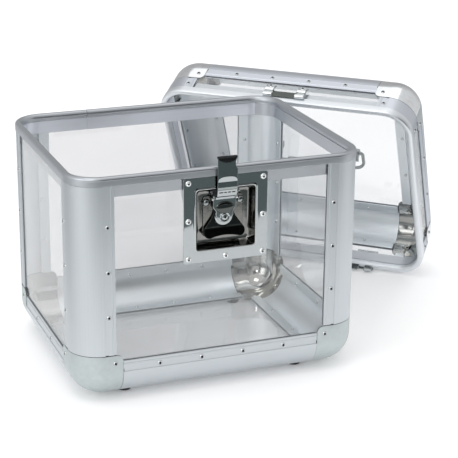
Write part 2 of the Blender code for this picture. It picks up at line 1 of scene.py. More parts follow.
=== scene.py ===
"""Looks of the transparent record carry case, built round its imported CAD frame.

Sizes are in millimetres, in two frames. The case's has its middle at the origin and Z = 0 on the table.
The lid's has Z from its open side to its top and Y from its front side to its back side. HOME and LID
bring them into the row frame, in metres. X is always along the width.
"""
import math

import bmesh
import bpy
from mathutils import Matrix, Vector


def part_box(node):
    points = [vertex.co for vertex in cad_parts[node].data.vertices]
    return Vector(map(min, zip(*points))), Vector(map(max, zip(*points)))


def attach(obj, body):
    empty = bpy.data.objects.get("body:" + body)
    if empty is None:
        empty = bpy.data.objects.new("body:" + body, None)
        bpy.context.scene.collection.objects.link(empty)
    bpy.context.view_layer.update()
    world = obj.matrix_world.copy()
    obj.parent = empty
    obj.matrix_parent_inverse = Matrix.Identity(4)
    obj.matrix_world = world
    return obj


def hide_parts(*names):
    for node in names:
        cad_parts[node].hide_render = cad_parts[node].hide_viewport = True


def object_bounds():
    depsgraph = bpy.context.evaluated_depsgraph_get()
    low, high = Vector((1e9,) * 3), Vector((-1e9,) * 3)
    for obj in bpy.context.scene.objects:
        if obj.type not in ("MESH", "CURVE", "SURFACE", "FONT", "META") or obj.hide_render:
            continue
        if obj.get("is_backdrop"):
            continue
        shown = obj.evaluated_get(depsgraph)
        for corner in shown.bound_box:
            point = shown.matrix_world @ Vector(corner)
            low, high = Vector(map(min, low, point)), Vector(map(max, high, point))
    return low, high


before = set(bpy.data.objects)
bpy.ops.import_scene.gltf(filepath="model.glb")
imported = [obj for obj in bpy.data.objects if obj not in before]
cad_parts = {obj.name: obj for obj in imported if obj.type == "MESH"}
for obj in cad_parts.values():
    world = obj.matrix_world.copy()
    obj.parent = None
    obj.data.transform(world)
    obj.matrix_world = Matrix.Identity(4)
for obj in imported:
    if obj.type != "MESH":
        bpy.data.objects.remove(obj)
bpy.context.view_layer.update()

MM = 0.001

# ---------------- sizes (mm)
RIM_PROUD = 1.5          # the rim's lip stands this far out of the flange planes
rim_low, rim_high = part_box("rim_frame")
HALF_W = (rim_high.x - rim_low.x) / 2 / MM - RIM_PROUD
HALF_D = (rim_high.y - rim_low.y) / 2 / MM - RIM_PROUD
RIM_TOP = rim_high.z / MM
RIM_Z = RIM_TOP - 12.0   # lower edge of the rim's outer lip
RIM_INNER = 15.4         # the rim's inner flange reaches this far below the lip
FLOOR_Z = 6.1            # plane of the bottom flanges

CORNER_R = 42.0          # outside radius of posts, rails and ball corners
CORNER_C = 41.2          # its centre, in from the flange planes
SHELL = 2.0              # wall of the round part
ROUND_END = 38.4         # the round part ends here and the flange starts
FLANGE_END = 53.4        # free edges of the outer and the inner flange
FLANGE_T = 1.5           # outer flange, from its plane to the panel slot
SLOT_IN = 5.1            # inner side of the panel slot
SLOT_FLOOR = 41.4        # closed end of the panel slot
INNER_T = 6.6            # inner side of the inner flange
LIP_FROM, LIP_TO, LIP_H = 48.1, 49.9, 0.55     # raised bead along the outer flange
RIVET_AT = 43.9          # rivets of an extrusion, in from the box's edge
POST_RIVETS = (121.2, 181.7, 241.9)            # heights on the case's posts
LID_POST_RIVETS = (21.5,)
WIDE_ROW = (4, 57.5)     # rivets in a row along the width, and their pitch
DEEP_ROW = (2, 74.0)     # the same along the depth
BALL_RIVET_AT = 51.5
BALL_PROUD = 0.7         # a ball corner's sheet lies this far outside the flange planes
BALL_WALL = 1.9
LEG = 62.0               # reach of a ball corner's legs
SEAM = 0.9               # open seam between a ball corner and the extrusion beside it
PANEL_OUT = 1.8          # the panels' outer faces, in from the flange planes
RIM_CORNER_R = 41.5
RIM_SEAM_X = -88.5       # butt seam of the case's rim
FOOT_X, FOOT_Y = 121.5, 117.5
HINGE_X = 98.0           # sockets and tongues, out from the middle

LID_H = 98.0
LID_RIM = 12.0           # the lid rim's lip ends here
LID_TURN = -42.45        # degrees about the vertical
LID_LEAN = 25.0          # degrees out of upright
LID_AT = (249.3, 194.4, 151.0)

LATCH_X, LATCH_Z = 3.1, 237.3

CORNERS = (("fl", -1, -1), ("fr", 1, -1), ("bl", -1, 1), ("br", 1, 1))
QUARTERS = ((1, 1, 0), (-1, 1, 90), (-1, -1, 180), (1, -1, 270))     # sides, start angle of an arc

place = Vector(((rim_low.x + rim_high.x) / 2, (rim_low.y + rim_high.y) / 2, 0.0))
HOME = Matrix.Translation(place)
LID = (HOME @ Matrix.Translation(Vector(LID_AT) * MM)
       @ Matrix.Rotation(math.radians(LID_TURN), 4, "Z")
       @ Matrix.Rotation(math.radians(LID_LEAN - 90.0), 4, "X"))


def frame_from(a, b, at=(0, 0, 0)):
    """Matrix whose X is a, whose Y is b and whose Z is a x b, at a point in mm."""
    a, b = Vector(a), Vector(b)
    m = Matrix((a, b, a.cross(b))).transposed().to_4x4()
    m.translation = Vector(at) * MM
    return m


def placed(x, y, z):
    return Matrix.Translation(Vector((x, y, z)) * MM)


def standing(at, normal):
    """Matrix whose Z points along a normal, at a point in mm."""
    m = Vector(normal).to_track_quat("Z", "Y").to_matrix().to_4x4()
    m.translation = Vector(at) * MM
    return m


FRONT = ((1, 0, 0), (0, 0, 1))      # local x right, y up, z out of the front
BACK = ((0, 1, 0), (0, 0, 1))       # local x out of the back, y up, z right
LATCH = HOME @ frame_from(*FRONT, (LATCH_X, -HALF_D, LATCH_Z))

# ---------------- node helpers
def preset(node, sockets):
    """Sets a node's input values by name, with _ for a space."""
    for key, value in sockets.items():
        node.inputs[key.replace("_", " ")].default_value = value


def fresh(nt, kind, **sockets):
    node = nt.nodes.new("ShaderNode" + kind)
    preset(node, sockets)
    return node


def surface(name, colour, rough, metallic=0.0, **sockets):
    """A material with one Principled shader, and further values for its sockets."""
    m = bpy.data.materials.new(name)
    m.use_nodes = True
    m.diffuse_color = (*colour, 1.0)
    b = m.node_tree.nodes["Principled BSDF"]
    b.inputs["Base Color"].default_value = (*colour, 1.0)
    b.inputs["Roughness"].default_value = rough
    b.inputs["Metallic"].default_value = metallic
    preset(b, sockets)
    return m, m.node_tree, b


def scaled(nt, output, scale):
    """Texture coordinates of the given kind, scaled per axis."""
    t = fresh(nt, "TexCoord")
    s = fresh(nt, "Mapping", Scale=scale)
    nt.links.new(t.outputs[output], s.inputs["Vector"])
    return s.outputs["Vector"]


def solid(nt, k):
    """Object coordinates, scaled evenly."""
    return scaled(nt, "Object", (k, k, k))


def noise(nt, vector, detail=3.0, rough=0.5, warp=0.0):
    n = fresh(nt, "TexNoise", Scale=1.0, Detail=detail, Roughness=rough, Distortion=warp)
    nt.links.new(vector, n.inputs["Vector"])
    return n.outputs["Fac"]


def remap(nt, value, lo, hi, a=0.3, b=0.7):
    r = fresh(nt, "MapRange", From_Min=a, From_Max=b, To_Min=lo, To_Max=hi)
    nt.links.new(value, r.inputs["Value"])
    return r.outputs["Result"]


def sums(nt, operation, a, b):
    m = fresh(nt, "Math")
    m.operation = operation
    for socket, x in zip(m.inputs, (a, b)):
        if isinstance(x, (int, float)):
            socket.default_value = x
        else:
            nt.links.new(x, socket)
    return m.outputs["Value"]


def tint(nt, factor, dark, light):
    m = fresh(nt, "Mix")
    m.data_type = "RGBA"
    m.inputs["A"].default_value = (*dark, 1.0)
    m.inputs["B"].default_value = (*light, 1.0)
    nt.links.new(factor, m.inputs["Factor"])
    return m.outputs["Result"]


def bump(nt, shader, height, distance, strength=1.0):
    n = fresh(nt, "Bump", Strength=strength, Distance=distance)
    nt.links.new(height, n.inputs["Height"])
    nt.links.new(n.outputs["Normal"], shader.inputs["Normal"])


def shade(colour, k):
    return tuple(min(1.0, c * k) for c in colour)


# ---------------- materials
def drawn_aluminium(name, colour, rough):
    """Satin anodised extrusion: fine and broad streaks along u of the mesh's own metre-true UV map."""
    m, nt, b = surface(name, colour, rough, 1.0)
    fine = noise(nt, scaled(nt, "UV", (26.0, 2600.0, 1.0)), detail=5.0, rough=0.62)
    broad = noise(nt, scaled(nt, "UV", (2.2, 420.0, 1.0)), detail=3.0, rough=0.55)
    cloud = noise(nt, solid(nt, 9.0), detail=4.0)
    mixed = sums(nt, "ADD", sums(nt, "MULTIPLY", fine, 0.45), sums(nt, "MULTIPLY", broad, 0.55))
    dark, light = shade(colour, 0.97), shade(colour, 1.03)
    nt.links.new(tint(nt, remap(nt, mixed, 0.0, 1.0, 0.34, 0.66), dark, light), b.inputs["Base Color"])
    level = sums(nt, "ADD", remap(nt, fine, -0.02, 0.02), remap(nt, cloud, rough - 0.02, rough + 0.02))
    nt.links.new(level, b.inputs["Roughness"])
    bump(nt, b, fine, 0.00002, 0.3)
    return m


def pressed_sheet(name, colour, rough):
    """Pressed metal: soft drawing marks and a fine isotropic grain."""
    m, nt, b = surface(name, colour, rough, 1.0)
    marks = noise(nt, solid(nt, 70.0), detail=4.0, rough=0.6, warp=1.4)
    fine = noise(nt, solid(nt, 1500.0), detail=2.0)
    nt.links.new(tint(nt, remap(nt, marks, 0.0, 1.0), shade(colour, 0.94), shade(colour, 1.05)),
                 b.inputs["Base Color"])
    level = sums(nt, "ADD", remap(nt, marks, rough - 0.03, rough + 0.04), remap(nt, fine, -0.015, 0.015))
    nt.links.new(level, b.inputs["Roughness"])
    bump(nt, b, sums(nt, "ADD", marks, sums(nt, "MULTIPLY", fine, 0.25)), 0.00005, 0.5)
    return m


def plated(name, colour, rough, wave=0.00012):
    """Bright plating over pressed steel: slow waves, polishing haze and fine hairlines."""
    m, nt, b = surface(name, colour, rough, 1.0)
    slow = noise(nt, solid(nt, 32.0), detail=1.0, rough=0.4)
    haze = noise(nt, solid(nt, 190.0), detail=5.0, rough=0.65)
    hair = noise(nt, scaled(nt, "Object", (240.0, 2600.0, 2600.0)), detail=3.0, rough=0.7)
    nt.links.new(tint(nt, remap(nt, haze, 0.0, 1.0), shade(colour, 0.95), colour), b.inputs["Base Color"])
    level = sums(nt, "ADD", remap(nt, haze, rough * 0.5, rough * 1.7), remap(nt, hair, 0.0, 0.02, 0.45, 0.75))
    nt.links.new(level, b.inputs["Roughness"])
    bump(nt, b, slow, wave, 1.0)
    return m


def clear_sheet(name, colour):
    """Acrylic sheet: clear, faintly grey, with handling haze and slow waves. Lamps shine through it."""
    m, nt, b = surface(name, colour, 0.0, 0.0, Transmission_Weight=1.0, IOR=1.49)
    haze = noise(nt, solid(nt, 14.0), detail=6.0, rough=0.6)
    slow = noise(nt, solid(nt, 6.0), detail=1.0)
    nt.links.new(tint(nt, remap(nt, haze, 0.0, 1.0), shade(colour, 0.985), shade(colour, 1.01)),
                 b.inputs["Base Color"])
    nt.links.new(remap(nt, haze, 0.0, 0.035, 0.45, 0.8), b.inputs["Roughness"])
    bump(nt, b, slow, 0.0004, 0.25)
    out = nt.nodes["Material Output"]
    clear = fresh(nt, "BsdfTransparent")
    clear.inputs["Color"].default_value = (0.955, 0.96, 0.96, 1.0)
    path = fresh(nt, "LightPath")
    mix = fresh(nt, "MixShader")
    nt.links.new(path.outputs["Is Shadow Ray"], mix.inputs["Fac"])
    nt.links.new(b.outputs["BSDF"], mix.inputs[1])
    nt.links.new(clear.outputs["BSDF"], mix.inputs[2])
    nt.links.new(mix.outputs["Shader"], out.inputs["Surface"])
    return m


def moulded(name, colour, rough):
    """Rubber or plastic with a fine moulded grain and scuffs."""
    m, nt, b = surface(name, colour, rough)
    fine = noise(nt, solid(nt, 900.0), detail=3.0)
    scuff = noise(nt, solid(nt, 120.0), detail=6.0, rough=0.7)
    nt.links.new(tint(nt, remap(nt, scuff, 0.0, 1.0, 0.4, 0.8), colour, shade(colour, 1.9)),
                 b.inputs["Base Color"])
    nt.links.new(remap(nt, scuff, rough - 0.06, rough + 0.1), b.inputs["Roughness"])
    bump(nt, b, fine, 0.00012, 0.6)
    return m


ALU = drawn_aluminium("anodised_extrusion", (0.58, 0.615, 0.64), 0.42)
# Inner faces of the posts and rails: a lighter copy of the extrusion colour, painted light.
ALU_INSIDE_PAINTED_LIGHT = drawn_aluminium("anodised_extrusion_inside_painted_light", (0.77, 0.81, 0.835), 0.40)
# Rim colours: the case's rim darker and the lid's rim lighter than the extrusions, painted shade and painted
# light. The inner flange's copy is lighter, painted light; the side copy darker, painted shade.
ALU_RIM_PAINTED_SHADE = drawn_aluminium("anodised_rim_painted_shade", (0.48, 0.505, 0.535), 0.36)
ALU_RIM_INSIDE_PAINTED_LIGHT = drawn_aluminium("anodised_rim_inside_painted_light", (0.74, 0.76, 0.82), 0.36)
ALU_RIM_SIDE_PAINTED_SHADE = drawn_aluminium("anodised_rim_side_painted_shade", (0.54, 0.56, 0.595), 0.38)
ALU_LID = drawn_aluminium("anodised_lid", (0.60, 0.63, 0.68), 0.38)
ALU_LID_RIM_PAINTED_LIGHT = drawn_aluminium("anodised_lid_rim_painted_light", (0.72, 0.75, 0.78), 0.38)
BALL = pressed_sheet("ball_corner_outside", (0.53, 0.58, 0.585), 0.44)
# The lid's ball corners: smoother than the case's, and lighter, painted light.
BALL_LID_PAINTED_LIGHT = pressed_sheet("ball_corner_burnished_painted_light", (0.78, 0.80, 0.82), 0.13)
BALL_IN = plated("ball_corner_inside", (0.44, 0.44, 0.42), 0.075)
# Cut edges of the ball corners' sheet, dark: painted shade along their seams.
BALL_EDGE_PAINTED_SHADE = pressed_sheet("ball_edge_painted_shade", (0.30, 0.31, 0.32), 0.45)
# Near-black strips in the open seams beside the ball corners: painted shade.
SEAM_PAINTED_SHADE = moulded("seam_shadow", (0.03, 0.032, 0.034), 0.8)
# Rivet aluminium; laid as a lighter band on the latch dish's lip it is a painted highlight.
RIVET_AND_PAINTED_LIP_HIGHLIGHT = pressed_sheet("rivet_aluminium_and_painted_lip_highlight", (0.62, 0.64, 0.65), 0.24)
CHROME = plated("bright_plating", (0.42, 0.45, 0.455), 0.035)
BRIGHT = plated("bright_steel", (0.80, 0.82, 0.83), 0.10)
# Plating of the latch recess, darker than the plate round it: painted shade.
RECESS_BASE_PAINTED_SHADE = plated("recess_plating_painted_shade", (0.27, 0.265, 0.25), 0.16, 0.0003)
RECESS_WALL_PAINTED_SHADE = plated("recess_wall_painted_shade", (0.24, 0.24, 0.23), 0.09, 0.0002)
DARK_CHROME = plated("shaded_plating", (0.30, 0.33, 0.33), 0.045)
# Near-black plating, a painted dark reflection on the yoke's dome; also on the keeper's bar, painted darker
# than its blocks.
PLATING_PAINTED_DARK = plated("plating_painted_dark", (0.095, 0.105, 0.10), 0.06)
# Near-black plating of the latch's wing: painted dark reflection.
PLATING_PAINTED_BLACK = plated("plating_painted_black", (0.05, 0.055, 0.053), 0.08)
# Near-black steel of the hook's spring; in the rivet holes, the hook's slots and the hook's tip it is painted
# shade.
DARK_STEEL_AND_PAINTED_SHADE = plated("spring_steel_and_painted_shade", (0.03, 0.031, 0.033), 0.34)
ACRYLIC = clear_sheet("clear_acrylic", (0.825, 0.835, 0.845))
# Front sheet clearer and back sheet greyer than the other panels: lighter and darker copies of the one
# acrylic, painted light and painted shade.
ACRYLIC_FRONT_PAINTED_LIGHT = clear_sheet("clear_acrylic_front_painted_light", (0.88, 0.885, 0.89))
ACRYLIC_BACK_PAINTED_SHADE = clear_sheet("clear_acrylic_back_painted_shade", (0.70, 0.70, 0.71))
RUBBER = moulded("black_rubber", (0.018, 0.018, 0.02), 0.62)
GRIP = moulded("grip_sleeve", (0.20, 0.21, 0.22), 0.5)


# ---------------- mesh helpers
def piece(name, mesh, matrix, body, mats, sharp=28.0, replaces=()):
    """Makes mesh a piece of the object: placed, shaded, given its materials and tied to its body."""
    mesh.name = name
    mesh.transform(matrix)
    ob = bpy.data.objects.new(name, mesh)
    bpy.context.scene.collection.objects.link(ob)
    for m in mats:
        mesh.materials.append(m)
    mesh.shade_smooth()
    mesh.set_sharp_from_angle(angle=math.radians(sharp))
    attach(ob, body)
    if replaces:
        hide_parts(*replaces)
    even = ob.modifiers.new("even_shading", "WEIGHTED_NORMAL")
    even.keep_sharp = True
    return ob


def thicken(ob, thick):
    """Gives an open sheet its wall, inward, ahead of the shading."""
    wall = ob.modifiers.new("wall", "SOLIDIFY")
    wall.thickness = thick * MM
    wall.offset = -1
    wall.use_quality_normals = True
    ob.modifiers.move(1, 0)
    return wall


def raw_mesh(bm, name):
    me = bpy.data.meshes.new(name)
    bm.to_mesh(me)
    bm.free()
    return me


def to_mesh(bm, name):
    bmesh.ops.recalc_face_normals(bm, faces=bm.faces)
    return raw_mesh(bm, name)


def joined(name, parts):
    """One mesh from (mesh, matrix) pairs."""
    bm = bmesh.new()
    for mesh, m in parts:
        start = len(bm.verts)
        bm.from_mesh(mesh)
        bm.verts.ensure_lookup_table()
        for v in bm.verts[start:]:
            v.co = m @ v.co
    return raw_mesh(bm, name)


def many(name, mesh, matrices):
    """One mesh with a copy of mesh at each matrix."""
    return joined(name, [(mesh, m) for m in matrices])


def sliced(mesh, spots, normal):
    """Cuts the faces of mesh along planes through points in mm, so that it can bend there."""
    bm = bmesh.new()
    bm.from_mesh(mesh)
    for at in spots:
        bmesh.ops.bisect_plane(bm, geom=bm.verts[:] + bm.edges[:] + bm.faces[:], plane_co=Vector(at) * MM,
                               plane_no=normal)
    bm.to_mesh(mesh)
    bm.free()


def curve_mesh(cu, name):
    """The closed mesh of a filled or bevelled curve."""
    tmp = bpy.data.objects.new(name + "_curve", cu)
    bpy.context.scene.collection.objects.link(tmp)
    bpy.context.view_layer.update()
    me = bpy.data.meshes.new_from_object(tmp.evaluated_get(bpy.context.evaluated_depsgraph_get()))
    bpy.data.objects.remove(tmp, do_unlink=True)
    bm = bmesh.new()
    bm.from_mesh(me)
    bpy.data.meshes.remove(me)
    bmesh.ops.remove_doubles(bm, verts=bm.verts, dist=2e-6)
    return to_mesh(bm, name)


def arc(cx, cy, r, a0, a1, n):
    return [(cx + r * math.cos(math.radians(a0 + (a1 - a0) * i / n)),
             cy + r * math.sin(math.radians(a0 + (a1 - a0) * i / n))) for i in range(n + 1)]


def round_rect(hx, hy, r, n):
    pts = []
    for sx, sy, a in QUARTERS:
        pts += arc(sx * (hx - r), sy * (hy - r), r, a, a + 90, n)
    return pts


def prism(name, loop, length, inside=None):
    """A closed section extruded along Z about 0. UV: u along the length, v round the section, in metres.
    Faces whose two section points both pass the test inside get the second material."""
    bm = bmesh.new()
    uv = bm.loops.layers.uv.new("UVMap")
    half = length * MM / 2
    low = [bm.verts.new((x * MM, y * MM, -half)) for x, y in loop]
    high = [bm.verts.new((x * MM, y * MM, half)) for x, y in loop]
    run = 0.0
    for i in range(len(loop)):
        j = (i + 1) % len(loop)
        step = (low[j].co - low[i].co).length
        f = bm.faces.new((low[i], low[j], high[j], high[i]))
        f.material_index = 1 if inside and inside(loop[i]) and inside(loop[j]) else 0
        for corner, at in zip(f.loops, ((0, run), (0, run + step), (2 * half, run + step), (2 * half, run))):
            corner[uv].uv = at
        run += step
    for ring in (list(reversed(low)), high):
        f = bm.faces.new(ring)
        for corner in f.loops:
            corner[uv].uv = (corner.vert.co.x, corner.vert.co.y)
    return to_mesh(bm, name)


def lathe(name, profile, n=28, mat_at=()):
    """A profile of (radius, z) turned round Z. mat_at lists (first ring, material index)."""
    bm = bmesh.new()
    rings = []
    for r, z in profile:
        if r < 1e-6:
            rings.append([bm.verts.new((0, 0, z * MM))])
        else:
            rings.append([bm.verts.new((r * MM * math.cos(2 * math.pi * k / n),
                                        r * MM * math.sin(2 * math.pi * k / n), z * MM)) for k in range(n)])
    for i in range(len(rings) - 1):
        a, b = rings[i], rings[i + 1]
        index = max([m for first, m in mat_at if i >= first], default=0)
        for k in range(n):
            j = (k + 1) % n
            if len(a) == 1 and len(b) == 1:
                continue
            if len(a) == 1:
                f = bm.faces.new((a[0], b[j], b[k]))
            elif len(b) == 1:
                f = bm.faces.new((a[k], a[j], b[0]))
            else:
                f = bm.faces.new((a[k], a[j], b[j], b[k]))
            f.material_index = index
    return to_mesh(bm, name)


def plate_mesh(name, loops, thick, edge):
    """A flat plate from closed outlines (mm) with rounded edges, centred on Z = 0."""
    cu = bpy.data.curves.new(name, "CURVE")
    cu.dimensions = "2D"
    cu.fill_mode = "BOTH"
    cu.extrude = (thick / 2 - edge) * MM
    cu.bevel_depth = edge * MM
    cu.bevel_resolution = 2
    cu.offset = -edge * MM
    for loop in loops:
        sp = cu.splines.new("POLY")
        sp.points.add(len(loop) - 1)
        for p, (x, y) in zip(sp.points, loop):
            p.co = (x * MM, y * MM, 0, 1)
        sp.use_cyclic_u = True
    return curve_mesh(cu, name)


def tube_mesh(name, points, radius, resolution):
    cu = bpy.data.curves.new(name, "CURVE")
    cu.dimensions = "3D"
    cu.bevel_depth = radius * MM
    cu.bevel_resolution = resolution
    cu.use_fill_caps = True
    sp = cu.splines.new("POLY")
    sp.points.add(len(points) - 1)
    for p, co in zip(sp.points, points):
        p.co = (*(Vector(co) * MM), 1)
    return curve_mesh(cu, name)


# ---------------- rivets
def rivet_profile(r, h, hole):
    """Pop rivet: low dome with a punched mandrel hole, closed underneath."""
    out = [(0.0, -0.3), (r, -0.3), (r, 0.12)]
    for a in (20, 40, 58, 72):
        out.append((r * math.cos(math.radians(a)), 0.12 + (h - 0.12) * math.sin(math.radians(a))))
    out = [p for p in out if p[0] > hole + 0.35 or p[0] == 0.0]
    out += [(hole + 0.35, h), (hole, h - 0.12), (hole * 0.96, h - 0.95), (0.0, h - 0.85)]
    return out


# The rivets' hole faces take the second material, near-black: painted shade.
def rivet_set(name, spots, base, body, r=3.1, h=1.25, hole=1.65, mats=(RIVET_AND_PAINTED_LIP_HIGHLIGHT, DARK_STEEL_AND_PAINTED_SHADE)):
    """Rivets at (point mm, outward normal) pairs in the base frame, as one piece."""
    profile = rivet_profile(r, h, hole)
    one = lathe(name, profile, 20, mat_at=((len(profile) - 3, 1),))
    heads = many(name, one, [standing(*spot) for spot in spots])
    return piece(name, heads, base, body, mats, sharp=50)


TAIL = [(0, -0.2), (2.5, -0.2), (2.5, 0.3), (2.3, 1.0), (1.55, 1.5), (0.75, 1.35), (0, 1.2)]


# ---------------- extrusions
def flange_side():
    """Outer flange, panel slot and inner flange of one side: from the round part's end to the inner arc."""
    e = FLANGE_END
    pts = [(-ROUND_END - 0.1, 0.42), (-ROUND_END - 0.3, 0.1), (-ROUND_END - 0.7, 0.0)]
    pts += [(-LIP_FROM + 0.15, 0.0), (-LIP_FROM, 0.15), (-LIP_FROM - 0.25, LIP_H - 0.08),
            (-LIP_FROM - 0.5, LIP_H), (-LIP_TO + 0.5, LIP_H), (-LIP_TO + 0.25, LIP_H - 0.08),
            (-LIP_TO, 0.15), (-LIP_TO - 0.15, 0.0)]
    pts += arc(-e + 0.5, -0.5, 0.5, 90, 180, 3) + [(-e, -FLANGE_T)]
    pts += [(-SLOT_FLOOR, -FLANGE_T), (-SLOT_FLOOR, -SLOT_IN), (-e, -SLOT_IN)]
    pts += arc(-e + 0.5, -INNER_T + 0.5, 0.5, 180, 270, 3)
    pts += [(-ROUND_END - 0.9, -INNER_T), (-ROUND_END - 0.5, -INNER_T + 0.15)]
    return pts


def corner_section():
    c = -CORNER_C
    a_out = math.degrees(math.asin((CORNER_C - ROUND_END) / CORNER_R))
    ri = CORNER_R - SHELL
    a_in = math.degrees(math.asin((CORNER_C - ROUND_END - 0.25) / ri))
    side = flange_side()
    loop = arc(c, c, CORNER_R, a_out, 90 - a_out, 30) + side
    loop += arc(c, c, ri, 90 - a_in, a_in, 20)
    loop += [(y, x) for x, y in reversed(side)]
    return loop


def seam_section(d0, d1):
    """Thin band that follows the outside of the extrusion from depth d0 to d1."""
    c, e = -CORNER_C, FLANGE_END - 0.4
    a = math.degrees(math.asin((CORNER_C - ROUND_END) / CORNER_R))
    outer = [(-d0, -e)] + arc(c, c, CORNER_R - d0, a, 90 - a, 16) + [(-e, -d0)]
    inner = [(-d1, -e)] + arc(c, c, CORNER_R - d1, a, 90 - a, 16) + [(-e, -d1)]
    return outer + list(reversed(inner))


def within(p):
    """True for a point of the extrusion's section that lies on its inner side."""
    x, y = p
    if x < -CORNER_C or y < -CORNER_C:
        return min(-x, -y) > SLOT_IN + 0.2
    return math.hypot(x + CORNER_C, y + CORNER_C) < CORNER_R - SHELL + 0.1


def extrusion(name, out_a, out_b, at, length, base, body, mats, replaces):
    mesh = prism(name, corner_section(), length, within)
    matrix = base @ frame_from(out_a, out_b, at)
    return piece(name, mesh, matrix, body, mats, replaces=(replaces,))


def ball_corner(name, sx, sy, up, at, base, body, outside, replaces):
    """Pressed corner: an eighth of a ball with short legs, round-cornered flanges and a polished inside."""
    s, leg = 260.0, LEG + BALL_PROUD
    bm = bmesh.new()
    bmesh.ops.create_cube(bm, size=s * MM, matrix=Matrix.Translation(Vector((-s / 2, -s / 2, -s / 2)) * MM))
    bmesh.ops.bevel(bm, geom=bm.edges[:] + bm.verts[:], offset=CORNER_R * MM, segments=14, profile=0.5,
                    affect="EDGES", clamp_overlap=False)
    for i in range(3):
        co, no = [0, 0, 0], [0, 0, 0]
        co[i], no[i] = -leg * MM, -1
        bmesh.ops.bisect_plane(bm, geom=bm.verts[:] + bm.edges[:] + bm.faces[:], plane_co=co, plane_no=no,
                               clear_outer=True)
    free = [v for v in bm.verts if sum(abs(c + leg * MM) < 1e-6 for c in v.co) == 2]
    bmesh.ops.bevel(bm, geom=free, offset=8.0 * MM, segments=6, profile=0.5, affect="VERTICES")
    hub = Vector((-CORNER_R, -CORNER_R, -CORNER_R)) * MM
    bmesh.ops.recalc_face_normals(bm, faces=bm.faces)
    f = max(bm.faces, key=lambda f: f.calc_area())
    if f.normal.dot(f.calc_center_median() - hub) < 0:
        bmesh.ops.reverse_faces(bm, faces=bm.faces)
    a, b, c = Vector((sx, 0, 0)), Vector((0, sy, 0)), Vector((0, 0, up))
    if sx * sy * up < 0:
        a, b = b, a
    m = Matrix((a, b, c)).transposed().to_4x4()
    m.translation = (Vector(at) + Vector((sx, sy, up)) * BALL_PROUD) * MM
    ob = piece(name, raw_mesh(bm, name), base @ m, body, (outside, BALL_IN, BALL_EDGE_PAINTED_SHADE),
               replaces=(replaces,))
    # The wall's inside takes the polished inside; its cut edges the dark edge colour, painted shade.
    wall = thicken(ob, BALL_WALL)
    wall.material_offset = 1
    wall.material_offset_rim = 2
    return ob


def box_shell(prefix, cad, base, body, up, face_z, rim_z, rivet_z, mats, outside):
    """Posts, rails, ball corners, seams and rivets of one box. up is -1 where its flat face is below.
    cad is the prefix of the CAD nodes that they stand for."""
    s = -up
    leg_end = face_z + s * LEG
    a, b = leg_end + s * SEAM, rim_z - s * 0.3
    mid, length = (a + b) / 2, abs(b - a)
    heads, tails, seams = [], [], []
    for tag, sx, sy in CORNERS:
        cx, cy = sx * HALF_W, sy * HALF_D
        extrusion(prefix + "post_profile_" + tag, (sx, 0, 0), (0, sy, 0), (cx, cy, mid), length, base, body,
                  mats, cad + "post_" + tag)
        for z in rivet_z:
            for at, normal in (((cx, sy * (HALF_D - RIVET_AT), z), (sx, 0, 0)),
                               ((sx * (HALF_W - RIVET_AT), cy, z), (0, sy, 0))):
                heads.append((at, normal))
                tails.append((Vector(at) - Vector(normal) * INNER_T, -Vector(normal)))
        ball_corner(prefix + "ball_cap_" + tag, sx, sy, up, (cx, cy, face_z), base, body, outside,
                    cad + "ball_corner_" + tag)
        k = BALL_RIVET_AT
        heads += [((sx * (HALF_W - k), sy * (HALF_D + BALL_PROUD), face_z + s * k), (0, sy, 0)),
                  ((sx * (HALF_W + BALL_PROUD), sy * (HALF_D - k), face_z + s * k), (sx, 0, 0)),
                  ((sx * (HALF_W - k), sy * (HALF_D - k), face_z - s * BALL_PROUD), (0, 0, up))]
        seams.append((frame_from((sx, 0, 0), (0, sy, 0), (cx, cy, leg_end + s * 0.2)), 3.0))
        seams.append((frame_from((0, sy, 0), (0, 0, up), (sx * (HALF_W - LEG - 0.2), cy, face_z)), 2.0))
        seams.append((frame_from((sx, 0, 0), (0, 0, up), (cx, sy * (HALF_D - LEG - 0.2), face_z)), 2.0))
    row = face_z + s * RIVET_AT
    wide, deep = 2 * (HALF_W - LEG), 2 * (HALF_D - LEG)
    spans = [("front", 0, -1, wide, *WIDE_ROW), ("back", 0, 1, wide, *WIDE_ROW),
             ("left", -1, 0, deep, *DEEP_ROW), ("right", 1, 0, deep, *DEEP_ROW)]
    for tag, sx, sy, length, count, pitch in spans:
        out, at = Vector((sx, sy, 0)), Vector((sx * HALF_W, sy * HALF_D, face_z))
        along = Vector((abs(sy), abs(sx), 0))
        extrusion(prefix + "rail_profile_" + tag, out, (0, 0, up), at, length - 0.8, base, body, mats,
                  cad + "rail_" + tag)
        for i in range(count):
            step = along * pitch * (i - (count - 1) / 2)
            side = Vector((sx * HALF_W, sy * HALF_D, row)) + step
            flat = at - out * RIVET_AT + step
            for p, normal in ((side, out), (flat, Vector((0, 0, up)))):
                heads.append((p, normal))
                tails.append((p - normal * INNER_T, -normal))
    rivet_set(prefix + "rivets", heads, base, body)
    tail = lathe(prefix + "rivet_tail", TAIL, 16)
    ends = many(prefix + "rivet_tails", tail, [standing(*spot) for spot in tails])
    piece(prefix + "rivet_tails", ends, base, body, (RIVET_AND_PAINTED_LIP_HIGHLIGHT,), sharp=50)
    # Near-black strips in the seams: painted shade.
    strips = [(prism(prefix + "seam", seam_section(0.5, 1.3), length), m) for m, length in seams]
    piece(prefix + "seam_strips", joined(prefix + "seams", strips), base, body, (SEAM_PAINTED_SHADE,))


